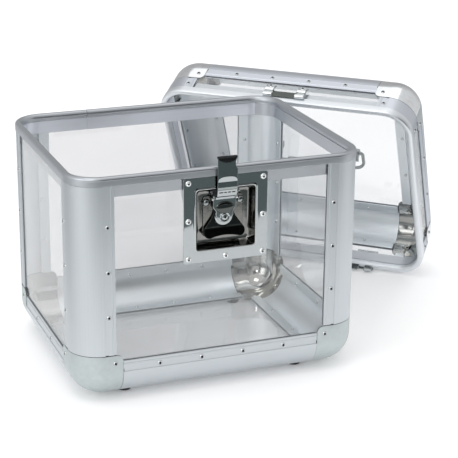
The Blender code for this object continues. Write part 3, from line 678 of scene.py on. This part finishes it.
# ---------------- rim
def rim_section():
    """One half of the closing profile, from the outer lip over the bead to the inner flange. Z is 0 at the
    lip's free edge."""
    inn, top = -8.5, 12.0
    s = [(-FLANGE_T, 0.0), (0.9, 0.0)] + arc(1.0, 0.5, 0.5, -90, 0, 3)
    s += [(1.5, 6.9), (1.35, 7.15), (1.25, 7.3), (1.25, 7.6), (1.4, 7.8)]
    s += arc(-2.5, top - 4.0, 4.0, 2, 90, 9)
    s += arc(-3.6, top - 4.4, 4.4, 90, 146, 7)
    s += [(-8.0, 8.9), (inn + 0.1, 7.6), (inn, 6.6), (inn, 5.2), (inn + 0.2, 4.7), (inn + 0.6, 4.5)]
    s += [(-6.9, 4.4), (-6.7, 4.1), (-6.7, 2.4), (-6.9, 2.1), (inn + 0.5, 2.0), (inn + 0.4, 1.6)]
    s += [(inn + 0.4, -RIM_INNER + 0.5), (inn + 0.8, -RIM_INNER)]
    s += [(-SLOT_IN, -RIM_INNER), (-SLOT_IN, top - 4.5), (-FLANGE_T, top - 4.5)]
    return s


def rim(name, matrix, body, mats, replaces, seam_x, shaded):
    """The closing profile swept round the box, with an open butt seam in its back side. The inner flange's
    faces get the second material, a lighter copy of the rim colour that paints light, and on the side that
    shaded points to the third, a darker copy that paints shade."""
    sec = rim_section()
    mx = sum(p[0] for p in sec) / len(sec)
    mz = sum(p[1] for p in sec) / len(sec)
    r, n = RIM_CORNER_R, 22
    stations = []
    for cx, cy, a in QUARTERS:
        for i in range(n + 1):
            t = math.radians(a + 90 * i / n)
            nor = Vector((math.cos(t), math.sin(t), 0))
            stations.append((Vector((cx * (HALF_W - r), cy * (HALF_D - r), 0)) + nor * r, nor, 0.0))
        if a == 0:
            for dx, depth in ((0.9, 0.0), (0.5, 1.1), (-0.5, 1.1), (-0.9, 0.0)):
                stations.append((Vector((seam_x + dx, HALF_D, 0)), Vector((0, 1, 0)), depth))
    bm = bmesh.new()
    uv = bm.loops.layers.uv.new("UVMap")
    rings, runs, run = [], [], 0.0
    for k, (at, nor, depth) in enumerate(stations):
        ring = []
        for o, z in sec:
            d = Vector((mx - o, mz - z))
            d = d.normalized() * depth if depth else Vector((0, 0))
            p = at + nor * (o + d.x)
            ring.append(bm.verts.new(Vector((p.x, p.y, z + d.y)) * MM))
        rings.append(ring)
        if k:
            run += (at - stations[k - 1][0]).length * MM
        runs.append(run)
    runs.append(run + (stations[0][0] - stations[-1][0]).length * MM)
    across = [0.0]
    for i in range(len(sec)):
        across.append(across[-1] + (Vector(sec[(i + 1) % len(sec)]) - Vector(sec[i])).length * MM)
    for k in range(len(rings)):
        a, b = rings[k], rings[(k + 1) % len(rings)]
        for i in range(len(sec)):
            j = (i + 1) % len(sec)
            f = bm.faces.new((a[i], b[i], b[j], a[j]))
            inner = max(sec[i][0], sec[j][0]) < -6.0 and max(sec[i][1], sec[j][1]) < 3.0
            if inner:
                f.material_index = 2 if stations[k][1].dot(Vector(shaded)) > 0.4 else 1
            for corner, at in zip(f.loops, ((runs[k], across[i]), (runs[k + 1], across[i]),
                                            (runs[k + 1], across[i + 1]), (runs[k], across[i + 1]))):
                corner[uv].uv = at
    return piece(name, to_mesh(bm, name), matrix, body, mats, sharp=32, replaces=(replaces,))


# ---------------- case and lid shells
# The extrusions' inner faces take the lighter copy of their colour: painted light.
box_shell("case_", "", HOME, "case", -1, FLOOR_Z, RIM_Z, POST_RIVETS, (ALU, ALU_INSIDE_PAINTED_LIGHT), BALL)
box_shell("lid_", "lid_", LID, "lid", 1, LID_H, LID_RIM, LID_POST_RIVETS, (ALU_LID, ALU_INSIDE_PAINTED_LIGHT), BALL_LID_PAINTED_LIGHT)
# The case's rim is darker and the lid's rim lighter than the extrusions: painted shade and painted light.
rim("case_rim_profile", HOME @ placed(0, 0, RIM_Z), "case", (ALU_RIM_PAINTED_SHADE, ALU_RIM_INSIDE_PAINTED_LIGHT, ALU_RIM_SIDE_PAINTED_SHADE), "rim_frame",
    RIM_SEAM_X, (1, 0, 0))
rim("lid_rim_profile", LID @ Matrix.Rotation(math.pi, 4, "Y") @ placed(0, 0, -LID_RIM), "lid",
    (ALU_LID_RIM_PAINTED_LIGHT, ALU_RIM_INSIDE_PAINTED_LIGHT, ALU_RIM_SIDE_PAINTED_SHADE), "lid_rim_frame", -RIM_SEAM_X, (0, 1, 0))

# The front and back panels take the painted-light and painted-shade copies of the acrylic.
SHEETS = {"panel_front": ACRYLIC_FRONT_PAINTED_LIGHT, "panel_back": ACRYLIC_BACK_PAINTED_SHADE}
for node_name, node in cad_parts.items():
    if "panel" in node_name:
        node.data.materials.clear()
        node.data.materials.append(SHEETS.get(node_name, ACRYLIC))

FOOT = [(0, 1.6), (2.8, 1.6), (2.9, 1.2), (4.2, 1.2), (4.4, 0.6), (5.0, 0.0), (7.8, 0.0), (8.4, 0.25),
        (8.7, 0.9), (9.3, 3.0), (9.9, 4.4), (9.7, 4.8), (9.2, 5.0), (7.7, 5.0), (7.7, 5.9), (7.4, 6.1),
        (0, 6.1)]
for tag, sx, sy in CORNERS:
    foot = lathe("foot", FOOT, 36, mat_at=((3, 1),))
    piece("rubber_foot_" + tag, foot, HOME @ placed(sx * FOOT_X, sy * FOOT_Y, 0), "case", (CHROME, RUBBER),
          sharp=40, replaces=("foot_" + tag,))


# ---------------- latch
def ring_sheet(name, rings, n, wall_from):
    """Open sheet through rings of (half side, corner radius, height) with a flat floor. The faces after
    ring wall_from get the second material, the two bands ahead of it the third."""
    bm = bmesh.new()
    before = None
    for k, (half, r, o) in enumerate(rings):
        ring = [bm.verts.new(Vector((x, y, o)) * MM) for x, y in round_rect(half, half, r, n)]
        for i in range(len(ring) if before else 0):
            j = (i + 1) % len(ring)
            f = bm.faces.new((before[i], before[j], ring[j], ring[i]))
            f.material_index = 1 if k > wall_from else 2 if k > wall_from - 2 else 0
        before = ring
    bm.faces.new(before).material_index = 1
    return raw_mesh(bm, name)


def follow(mesh, path, step):
    """Bends a flat strip along a path of (outward, up) points: the strip's Y becomes the length along it."""
    pts = [Vector(p) for p in path]
    runs = [0.0]
    for p, q in zip(pts, pts[1:]):
        runs.append(runs[-1] + (q - p).length)
    tangents = [(pts[min(i + 1, len(pts) - 1)] - pts[max(i - 1, 0)]).normalized() for i in range(len(pts))]
    sliced(mesh, [(0, k * step, 0) for k in range(1, int(runs[-1] / step))], (0, 1, 0))
    for v in mesh.vertices:
        s = min(max(v.co.y / MM, 0.0), runs[-1])
        i = next(k for k in range(1, len(runs)) if s <= runs[k] + 1e-6)
        f = (s - runs[i - 1]) / (runs[i] - runs[i - 1])
        at = pts[i - 1].lerp(pts[i], f)
        t = tangents[i - 1].lerp(tangents[i], f).normalized()
        o = at.x + t.y * v.co.z / MM
        up = at.y - t.x * v.co.z / MM
        v.co = Vector((v.co.x / MM, up, o)) * MM
    mesh.update()


def path_length(path):
    return sum((Vector(q) - Vector(p)).length for p, q in zip(path, path[1:]))


def chromed(name, mesh, matrix, body, mats, sharp=28.0, replaces=()):
    return piece(name, mesh, matrix, body, mats, sharp, replaces)


DISH = [(57.0, 2.2, -1.05), (57.0, 2.2, -0.5), (56.9, 2.2, -0.2), (56.6, 2.2, -0.03), (56.2, 2.3, 0.0),
        (52.0, 2.8, 0.05), (47.0, 3.6, 0.08), (44.6, 4.2, 0.05), (43.4, 4.5, 0.0), (42.8, 4.6, 0.15),
        (42.2, 4.6, 0.55), (41.5, 4.5, 0.85), (40.9, 4.3, 0.85), (40.4, 4.1, 0.55), (40.1, 4.0, 0.1),
        (39.9, 4.0, -0.5), (39.4, 4.0, -2.0), (38.2, 4.1, -5.5), (36.8, 4.3, -9.0), (36.0, 4.4, -10.6),
        (35.2, 4.4, -11.8), (34.2, 4.3, -12.6), (33.0, 4.2, -12.95), (30.0, 4.0, -13.0)]
DISH_LIP = 13            # the ring where the flat plate's lip ends and the recess starts
# The dish's lip bands take the lighter rivet colour, a painted highlight; the recess walls the darker wall
# plating, painted shade.
dish = chromed("latch_dish_plate", ring_sheet("dish", DISH, 8, DISH_LIP), LATCH, "case",
               (CHROME, RECESS_WALL_PAINTED_SHADE, RIVET_AND_PAINTED_LIP_HIGHLIGHT), 60, ("latch_dish",))
thicken(dish, 1.0)
rows = (-50.6, 0, 50.6)
spots = [((x, y, 0.0), (0, 0, 1)) for x in rows for y in rows if x or y < 0]
rivet_set("latch_dish_rivets", spots, LATCH, "case", r=4.0, h=2.1, hole=1.3, mats=(BRIGHT, DARK_STEEL_AND_PAINTED_SHADE))

base = plate_mesh("base", [round_rect(27, 27, 4.0, 6)], 1.5, 0.5)
chromed("latch_base_plate", base, LATCH @ placed(0, 1, -11.95), "case", (RECESS_BASE_PAINTED_SHADE,), 50, ("latch_base",))
STUD = [(0, -0.3), (5.3, -0.3), (5.3, 0.2), (5.1, 1.1), (4.4, 2.2), (3.2, 3.1), (1.7, 3.6), (0, 3.75)]
spots = [placed(x, y, -11.6) for x in (-23, 23) for y in (-21, 19.6)]
chromed("latch_base_studs", many("studs", lathe("stud", STUD, 24), spots), LATCH, "case", (DARK_CHROME,), 50)

DISC = [(0, -10.9), (11.6, -10.9), (12.3, -10.5), (12.4, -9.9), (12.3, -8.2), (11.9, -7.7), (11.2, -7.5),
        (0, -7.5)]
chromed("latch_pivot_disc", lathe("disc", DISC, 48), LATCH, "latch_wing", (CHROME,), 45, ("latch_disc",))


def wing_outline():
    """Butterfly about the pivot: two round lobes below, shoulders drawn in to the apex, hollow lower edge."""
    pts = arc(21.0, -19.5, 7.2, 40, -98, 14) + arc(0.0, -97.5, 73.5, 75.6, 104.4, 16)
    pts += arc(-21.0, -19.5, 7.2, 278, 140, 14)
    shoulder = [(-23.9, -11.6), (-20.6, -6.9), (-17.4, -2.6), (-15.2, 1.2), (-14.0, 4.6)]
    pts += shoulder + arc(0.0, 6.0, 13.4, 176, 4, 20)
    return pts + [(-x, y) for x, y in reversed(shoulder)]


def wing_mesh():
    """The wing's sheet: nearly flat round the pivot, with the lobes leaning out below the yoke's end."""
    top, fold = 8.0, -14.5
    eye = list(reversed(arc(0, 0, 12.9, 0, 352.5, 47)))
    me = plate_mesh("wing", [wing_outline(), eye], 2.0, 0.6)
    sliced(me, [(0, top - 1.2 * k, 0) for k in range(30)], (0, 1, 0))
    for v in me.vertices:
        y = v.co.y / MM
        lean = 1.1 * min(max((top - y) / 20.5, 0.0), 1.0)
        below = max(fold - y, 0.0)
        lean += 0.49 * below * below / (below + 1.6)
        v.co.z += lean * MM
    me.update()
    return me


# The wing is near-black: painted dark reflection.
chromed("latch_wing_sheet", wing_mesh(), LATCH @ placed(0, 0, -9.0), "latch_wing", (PLATING_PAINTED_BLACK,), 40,
        ("latch_wing",))

# yoke: a U-shaped face over the pivot, a dome above it, ears at the top round the hook's pin
PIN_O, PIN_Y = -1.6, 35.2
side = [(15.6, 28.6), (15.6, 14.4), (15.0, 12.0), (13.0, 10.0), (11.8, 7.6)]
tongue = [(-x, y) for x, y in side] + arc(0, 4.6, 11.8, 184, 356, 30) + list(reversed(side))
chromed("latch_yoke_face", plate_mesh("yoke", [tongue], 2.6, 0.7), LATCH @ placed(0, 0, -5.4), "latch_yoke",
        (CHROME,), 40, ("latch_yoke",))
DOME = [(0, -0.6), (12.4, -0.6), (12.4, 0.0), (12.1, 0.5)]
for a in range(6, 90, 9):
    DOME.append((11.7 * math.cos(math.radians(a)), 0.6 + 1.7 * math.sin(math.radians(a))))
DOME.append((0, 2.3))
dome_at = LATCH @ placed(0, 13.0, -4.05) @ Matrix.Diagonal((1, 0.68, 1, 1))
# The dome is near-black: painted dark reflection.
chromed("latch_yoke_dome", lathe("dome", DOME, 48), dome_at, "latch_yoke", (PLATING_PAINTED_DARK,), 45)
PIVOT = [(0, -0.4), (7.2, -0.4), (7.2, 0.15), (6.9, 0.45), (6.2, 0.5), (5.4, 0.25), (4.4, 0.1), (4.2, 0.9),
         (3.7, 1.5), (2.6, 1.9), (1.5, 1.95), (1.35, 1.7), (1.3, 0.9), (0, 0.8)]
# The pivot rivet's hole is near-black: painted shade.
pivot = lathe("pivot", PIVOT, 36, mat_at=((11, 1),))
chromed("latch_pivot_rivet", pivot, LATCH @ placed(0, 0.0, -4.1), "latch_yoke", (CHROME, DARK_STEEL_AND_PAINTED_SHADE), 45)
ear = [(-6.6, 19.0), (-4.6, 19.0), (-4.1, 24.0), (-3.6, 29.5)] + arc(PIN_O, PIN_Y, 4.0, -50, 165, 14)
ear += [(-6.2, 33.0), (-6.6, 29.0)]
ear_spots = [frame_from((0, 0, 1), (0, 1, 0), (sx * 15.0, 0, 0)) for sx in (-1, 1)]
ears = many("ears", plate_mesh("ear", [ear], 1.6, 0.5), ear_spots)
chromed("latch_yoke_ears", ears, LATCH, "latch_yoke", (DARK_CHROME,), 45)
PIN = [(0, -19.8), (1.9, -19.8), (2.7, -19.3), (2.9, -18.6), (2.7, -18.0), (1.5, -17.8), (1.5, 17.0),
       (2.3, 17.2), (2.4, 17.8), (2.0, 18.5), (0, 18.6)]
pin_at = LATCH @ frame_from(*BACK, (0, PIN_Y, PIN_O))
chromed("latch_hook_pin", lathe("pin", PIN, 28), pin_at, "latch_yoke", (CHROME,), 40)
spring = []
for k in range(-42, 57):
    spring.append((4.4 * math.cos(k * 0.45), 4.4 * math.sin(k * 0.45), -19.0 + 0.058 * (56 - k)))
chromed("latch_hook_spring", tube_mesh("spring", spring, 0.8, 2), pin_at, "latch_yoke", (DARK_STEEL_AND_PAINTED_SHADE,), 60)

# hook: a strap rolled round the pin, set out over the rim's lip and turned in at its tip
HOOK_HALF = 13.5
roll = arc(PIN_O, PIN_Y, 2.7, 185, 372, 18)
hook_path = roll + [(1.6, 36.6), (2.7, 37.8), (3.9, 39.0), (4.8, 40.4), (5.1, 42.2), (5.1, 50.0),
                    (5.1, 60.0), (5.1, 70.0), (5.1, 78.6)]
hook_path += arc(2.1, 78.6, 3.0, 10, 84, 10) + [(1.2, 81.7), (-0.2, 81.5)]
reach = path_length(hook_path)
start = path_length(roll) - 35.8      # a height on the strap plus this is its run
notch_mid, notch_r = 73.4 + start + 1.4, 13.0
hook_loop = [(-HOOK_HALF, 0.0), (HOOK_HALF, 0.0), (HOOK_HALF, 12.0)]
hook_loop += arc(HOOK_HALF + notch_r - 2.7, notch_mid, notch_r, 218, 142, 16)
hook_loop += [(HOOK_HALF, reach - 2.5), (12.6, reach - 0.4), (11.6, reach), (-11.6, reach),
              (-12.6, reach - 0.4), (-HOOK_HALF, reach - 2.5)]
hook_strap = plate_mesh("hook", [hook_loop], 1.9, 0.5)
sliced(hook_strap, [(1.5 * k, 0, 0) for k in range(-8, 9)], (1, 0, 0))
follow(hook_strap, hook_path, 0.9)
chromed("latch_hook_strap", hook_strap, LATCH, "latch_hook", (DARK_CHROME, DARK_STEEL_AND_PAINTED_SHADE), 45, ("latch_hook",))
# Faces at the strap's turned-in tip take the near-black steel: painted shade.
to_latch = LATCH.inverted()
for f in hook_strap.polygons:
    centre = to_latch @ f.center / MM
    if centre.y > 81.4 - 6.4 * (1 - abs(centre.x / HOOK_HALF) ** 2.4):
        f.material_index = 1
crescent = []
for k in range(28):
    c, s = math.cos(math.pi * k / 28), math.sin(math.pi * k / 28)
    crescent.append((12.9 * math.copysign(abs(c) ** 0.75, c), 49.9 + 7.4 * s ** 0.75))
crescent.append((-12.9, 49.9))
lean = Matrix.Rotation(math.radians(9), 4, "X")
boss_at = LATCH @ placed(0, 54.0, 6.1) @ lean @ placed(0, -54.0, 0)
boss = plate_mesh("crescent", [crescent], 1.4, 0.3)
chromed("latch_hook_boss", boss, boss_at, "latch_hook", (CHROME,), 45)
tilt = Matrix.Rotation(math.radians(14), 4, "X")
plaque_at = LATCH @ placed(0, 35.0, 3.2) @ tilt
plaque = plate_mesh("plaque", [round_rect(13.2, 4.7, 0.8, 4)], 2.4, 0.4)
chromed("latch_hook_plaque", plaque, plaque_at, "latch_hook", (CHROME,), 45)
knuckle = plate_mesh("knuckle", [round_rect(12.8, 1.9, 0.7, 4)], 2.4, 0.5)
chromed("latch_yoke_knuckle", knuckle, LATCH @ placed(0, 26.4, -3.4) @ tilt, "latch_yoke", (CHROME,), 45)
# Near-black slots in the plaque: painted shade.
slots = []
for x0, x1 in ((-11.0, -5.4), (-4.2, -0.8), (0.6, 5.0), (6.2, 10.8)):
    one = plate_mesh("slot", [round_rect((x1 - x0) / 2, 0.75, 0.5, 4)], 0.5, 0.15)
    slots.append((one, placed((x0 + x1) / 2, 0.9, 1.15)))
chromed("latch_hook_slots", joined("slots", slots), plaque_at, "latch_hook", (DARK_STEEL_AND_PAINTED_SHADE,), 45)
EAR_PIN = [(0, -14.6), (1.4, -14.6), (1.4, -16.0), (1.9, -16.2), (2.0, -17.0), (1.6, -17.7), (0, -18.0)]
pins = [frame_from((0, 1, 0), (0, 0, side), (0, 25.0, -5.0)) for side in (1, -1)]
ear_rivets = many("ear_rivets", lathe("ear_rivet", EAR_PIN, 20), pins)
chromed("latch_ear_rivets", ear_rivets, LATCH, "latch_yoke", (BRIGHT,), 40)

# ---------------- lid sockets and tongues
SOCKET = [(-1.5, 281.0), (0.0, 281.0), (0.0, 293.4), (3.3, 293.4), (3.3, 301.6), (7.2, 301.6),
          (7.2, 303.4), (1.8, 303.4), (1.8, 294.7), (-1.5, 294.7)]
TONGUE_LEG = [(1.8, -1.2), (3.3, -1.2), (3.3, 13.9), (0.0, 13.9), (0.0, 36.0), (-1.5, 36.0), (-1.5, 12.4),
              (1.8, 12.4)]
TONGUE_PRONG = [(-5.6, -11.5), (-4.1, -11.5), (-4.1, -1.8), (3.3, -1.8), (3.3, -0.3), (-5.6, -0.3)]


def tongue_mesh():
    """A leg on the lid's back side that ends in two hooked prongs."""
    prong = plate_mesh("prong", [TONGUE_PRONG], 12.0, 0.3)
    bm = bmesh.new()
    bm.from_mesh(plate_mesh("tongue", [TONGUE_LEG], 34.0, 0.3))
    bm.from_mesh(many("prongs", prong, [placed(0, 0, -11.0), placed(0, 0, 11.0)]))
    return to_mesh(bm, "tongue")


for tag, sx in (("left", -1), ("right", 1)):
    at = frame_from(*BACK, (sx * HINGE_X, HALF_D, 0))
    socket = plate_mesh("socket", [SOCKET], 46.0, 0.3)
    chromed("hinge_socket_plate_" + tag, socket, HOME @ at, "case", (CHROME,),
            replaces=("hinge_socket_" + tag,))
    chromed("lid_tongue_plate_" + tag, tongue_mesh(), LID @ at, "lid", (CHROME,),
            replaces=("lid_hinge_tongue_" + tag,))
for name, base, body, z, off in (("socket_rivets", HOME, "case", 287.0, 14),
                                 ("tongue_rivets", LID, "lid", 26.0, 10)):
    spots = [((x + dx, HALF_D, z), (0, 1, 0)) for x in (-HINGE_X, HINGE_X) for dx in (-off, off)]
    rivet_set(name, spots, base, body)

# ---------------- keeper on the lid
KEEPER_ENDS = (-24.9, 24.9)
front = LID @ frame_from(*FRONT, (LATCH_X, -HALF_D, 0))
bar = [(-31.0, 9.2), (31.0, 9.2), (31.0, 19.4), (30.0, 20.4), (-30.0, 20.4), (-31.0, 19.4)]
# The bar takes the near-black plating, painted darker than the blocks.
chromed("lid_keeper_bar", plate_mesh("bar", [bar], 1.6, 0.4), front @ placed(0, 0, 2.6), "lid", (PLATING_PAINTED_DARK,),
        replaces=("lid_keeper",))
block = [(-6.4, -12.8), (6.4, -12.8), (7.2, -11.6), (7.2, -4.0), (5.6, -1.0), (5.6, 7.0), (8.0, 10.4),
         (6.6, 12.8), (-6.6, 12.8), (-8.0, 10.4), (-5.6, 7.0), (-5.6, -1.0), (-7.2, -4.0), (-7.2, -11.6)]
blocks = [placed(x, 21.2, 3.1) for x in KEEPER_ENDS]
chromed("lid_keeper_blocks", many("blocks", plate_mesh("block", [block], 3.4, 1.3), blocks), front, "lid",
        (CHROME,), 50)
ROLL = [(0, -7.4), (2.0, -7.4), (2.9, -6.9), (3.1, -6.2), (3.1, 6.2), (2.9, 6.9), (2.0, 7.4), (0, 7.4)]
rolls = [frame_from(*BACK, (x, z, 4.6)) for x in KEEPER_ENDS for z in (11.4, 22.6)]
chromed("lid_keeper_rolls", many("rolls", lathe("roll", ROLL, 24), rolls), front, "lid", (BRIGHT,), 50)
rivet_set("lid_keeper_rivets", [((x, 29.6, 4.7), (0, 0, 1)) for x in KEEPER_ENDS], front, "lid",
          mats=(BRIGHT, DARK_STEEL_AND_PAINTED_SHADE))

# ---------------- carry handle on the lid
HANDLE_X, HANDLE_Y, HANDLE_Z = 8.0, 12.0, LID_H + 5.6
BRACKET_X = 62.5         # brackets, out from the handle's middle
ARM_X = 74.6             # the bail's arms
GRIP_Y, GRIP_Z = 33.0, 1.6
foot_z = LID_H - PANEL_OUT + 0.2
strap = [(-12.0, foot_z), (12.0, foot_z), (12.0, foot_z + 1.6), (8.4, foot_z + 1.6), (7.4, foot_z + 2.2)]
strap += arc(0, HANDLE_Z, 6.4, -22, 202, 20)
strap += [(-7.4, foot_z + 2.2), (-8.4, foot_z + 1.6), (-12.0, foot_z + 1.6)]
eye = list(reversed(arc(0, HANDLE_Z, 3.2, 0, 345, 23)))
for tag, sx in (("left", -1), ("right", 1)):
    at = frame_from(*BACK, (HANDLE_X + sx * BRACKET_X, HANDLE_Y, 0))
    bracket = plate_mesh("strap", [strap, eye], 13.0, 0.4)
    chromed("lid_handle_strap_" + tag, bracket, LID @ at, "lid", (CHROME,), 40,
            ("lid_handle_bracket_" + tag,))


def filleted(corners):
    """A path through (point, radius) corners with round bends."""
    pts = [Vector(corners[0][0])]
    for (a, _), (b, r), (c, _) in zip(corners, corners[1:], corners[2:]):
        a, b, c = Vector(a), Vector(b), Vector(c)
        u, w = (a - b).normalized(), (c - b).normalized()
        half = u.angle(w) / 2
        cut, hub = r / math.tan(half), b + (u + w).normalized() * (r / math.sin(half))
        p, q = b + u * cut - hub, b + w * cut - hub
        pts += [hub + p.normalized().slerp(q.normalized(), i / 10) * r for i in range(11)]
    return pts + [Vector(corners[-1][0])]


HANDLE = LID @ placed(HANDLE_X, HANDLE_Y, HANDLE_Z)
bail = filleted([((-55.6, 0, 0), 0), ((-ARM_X, 0, 0), 5.0), ((-ARM_X, GRIP_Y, GRIP_Z), 15.0),
                 ((ARM_X, GRIP_Y, GRIP_Z), 15.0), ((ARM_X, 0, 0), 5.0), ((55.6, 0, 0), 0)])
chromed("lid_handle_bail_rod", tube_mesh("bail", bail, 2.7, 5), HANDLE, "lid_handle", (CHROME,),
        replaces=("lid_handle_bail",))
sleeve = [(2.9, -52.0), (5.2, -52.0), (5.9, -51.6), (6.2, -50.8)]
for k in range(24):
    z = -48.3 + 4.2 * k
    sleeve += [(6.2, z - 0.75), (5.75, z - 0.4), (5.75, z + 0.4), (6.2, z + 0.75)]
sleeve += [(6.2, 50.8), (5.9, 51.6), (5.2, 52.0), (2.9, 52.0)]
piece("lid_handle_sleeve", lathe("sleeve", sleeve, 40), HANDLE @ frame_from(*BACK, (0.0, GRIP_Y, GRIP_Z)),
      "lid_handle", (GRIP,), sharp=30, replaces=("lid_handle_grip",))


# ---------------- floor, light and camera
def stage_plane(name, x0, x1, y0, y1, z, mat):
    me = bpy.data.meshes.new(name)
    me.from_pydata([(x0, y0, z), (x1, y0, z), (x1, y1, z), (x0, y1, z)], [], [(0, 1, 2, 3)])
    me.materials.append(mat)
    ob = bpy.data.objects.new(name, me)
    bpy.context.scene.collection.objects.link(ob)
    ob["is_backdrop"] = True
    return ob


floor_mat, nt, b = surface("studio_floor", (0.93, 0.93, 0.935), 0.75, 0.0, Emission_Strength=0.13)
b.inputs["Emission Color"].default_value = (1.0, 1.0, 1.0, 1.0)
paper = noise(nt, solid(nt, 3.0), detail=5.0)
nt.links.new(tint(nt, remap(nt, paper, 0.0, 1.0), (0.92, 0.92, 0.925), (0.94, 0.94, 0.945)),
             b.inputs["Base Color"])
stage_plane("studio_floor", -7.0, 7.0, -7.0, 7.0, 0.0, floor_mat)


def card(name, x0, x1, y0, y1, colour):
    """A sheet on the floor that only glossy rays see, as a photographer's card would be."""
    mat, tree, shader = surface(name, colour, 0.9)
    shader.inputs["Specular IOR Level"].default_value = 0.0
    ob = stage_plane(name, x0, x1, y0, y1, 0.002, mat)
    ob.visible_camera = ob.visible_diffuse = ob.visible_transmission = ob.visible_shadow = False
    return tree, shader


card("dark_card", -4.0, 4.0, -4.5, -0.92, (0.15, 0.178, 0.180))
for tag, x0, x1, near, far, colour in (("left", -4.5, -0.36, -0.38, -0.75, (0.50, 0.51, 0.52)),
                                       ("right", 0.45, 4.5, 0.45, 0.95, (0.42, 0.44, 0.45))):
    nt, b = card("grey_card_" + tag, x0, x1, -0.90, 4.0, colour)
    spot = fresh(nt, "SeparateXYZ")
    nt.links.new(solid(nt, 1.0), spot.inputs["Vector"])
    away = remap(nt, spot.outputs["X"], 0.0, 1.0, near, far)
    deep = remap(nt, spot.outputs["Y"], 0.0, 1.0, -0.85, 0.15)
    nt.links.new(tint(nt, sums(nt, "MULTIPLY", away, deep), (1.0, 1.0, 1.0), colour), b.inputs["Base Color"])


def area_light(name, at, target, size, watts):
    data = bpy.data.lights.new(name, "AREA")
    data.shape = "RECTANGLE"
    data.size, data.size_y = size
    data.energy = watts
    ob = bpy.data.objects.new(name, data)
    ob.location = at
    ob.rotation_euler = (Vector(target) - Vector(at)).to_track_quat("-Z", "Y").to_euler()
    bpy.context.scene.collection.objects.link(ob)


area_light("key", (-2.5, -1.15, 1.15), (-0.1, -0.1, 0.15), (1.1, 1.5), 9)
area_light("high", (-1.0, -0.9, 2.9), (-0.1, -0.1, 0.15), (0.9, 0.6), 8)
area_light("top", (0.4, 0.9, 3.2), (0.0, 0.0, 0.2), (2.6, 2.0), 10)
area_light("strip", (-1.35, -1.8, 1.15), (0.0, -0.25, 0.25), (0.10, 0.34), 2.5)

world = bpy.data.worlds.new("studio")
bpy.context.scene.world = world
world.use_nodes = True
nt = world.node_tree
back = nt.nodes["Background"]
coord = fresh(nt, "TexCoord")
split = fresh(nt, "SeparateXYZ")
nt.links.new(coord.outputs["Generated"], split.inputs["Vector"])
facing = fresh(nt, "VectorMath")
facing.operation = "DOT_PRODUCT"
facing.inputs[1].default_value = (0.36, -0.93, 0.0)
nt.links.new(coord.outputs["Generated"], facing.inputs[0])
ahead = remap(nt, facing.outputs["Value"], 0.0, 1.0, 0.72, 0.86)
low = remap(nt, split.outputs["Z"], 1.0, 0.0, 0.50, 0.62)
dark = sums(nt, "MULTIPLY", sums(nt, "MULTIPLY", ahead, low), 0.96)
sides = remap(nt, split.outputs["X"], 1.02, 0.72, -0.7, 0.8)
behind = remap(nt, split.outputs["Y"], 1.0, 0.55, 0.2, 0.75)
sides = sums(nt, "MULTIPLY", sides, behind)
shown = sums(nt, "SUBTRACT", sums(nt, "MULTIPLY", sides, sums(nt, "SUBTRACT", 1.0, dark)), 1.0)
path = fresh(nt, "LightPath")
level = sums(nt, "ADD", sums(nt, "MULTIPLY", shown, path.outputs["Is Glossy Ray"]), 1.0)
back.inputs["Color"].default_value = (1.0, 1.0, 1.0, 1.0)
nt.links.new(level, back.inputs["Strength"])

cam_data = bpy.data.cameras.new("camera")
cam_data.lens = 121.4
cam_data.sensor_width = 36.0
camera = bpy.data.objects.new("camera", cam_data)
bpy.context.scene.collection.objects.link(camera)
forward = Vector((0.3404, 0.8812, -0.3279)).normalized()
flat = forward.cross(Vector((0, 0, 1))).normalized()
tip = math.radians(0.57)
right = flat * math.cos(tip) + flat.cross(forward) * math.sin(tip)
camera.matrix_world = Matrix((right, right.cross(forward), -forward)).transposed().to_4x4()
camera.location = (-0.8019, -2.0235, 0.8683)
bpy.context.scene.camera = camera
bpy.context.scene.view_settings.view_transform = "Standard"
bpy.context.scene.cycles.transmission_bounces = 24
bpy.context.scene.cycles.glossy_bounces = 8
bpy.context.scene.cycles.max_bounces = 28
bpy.context.scene.cycles.transparent_max_bounces = 24

low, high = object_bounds()
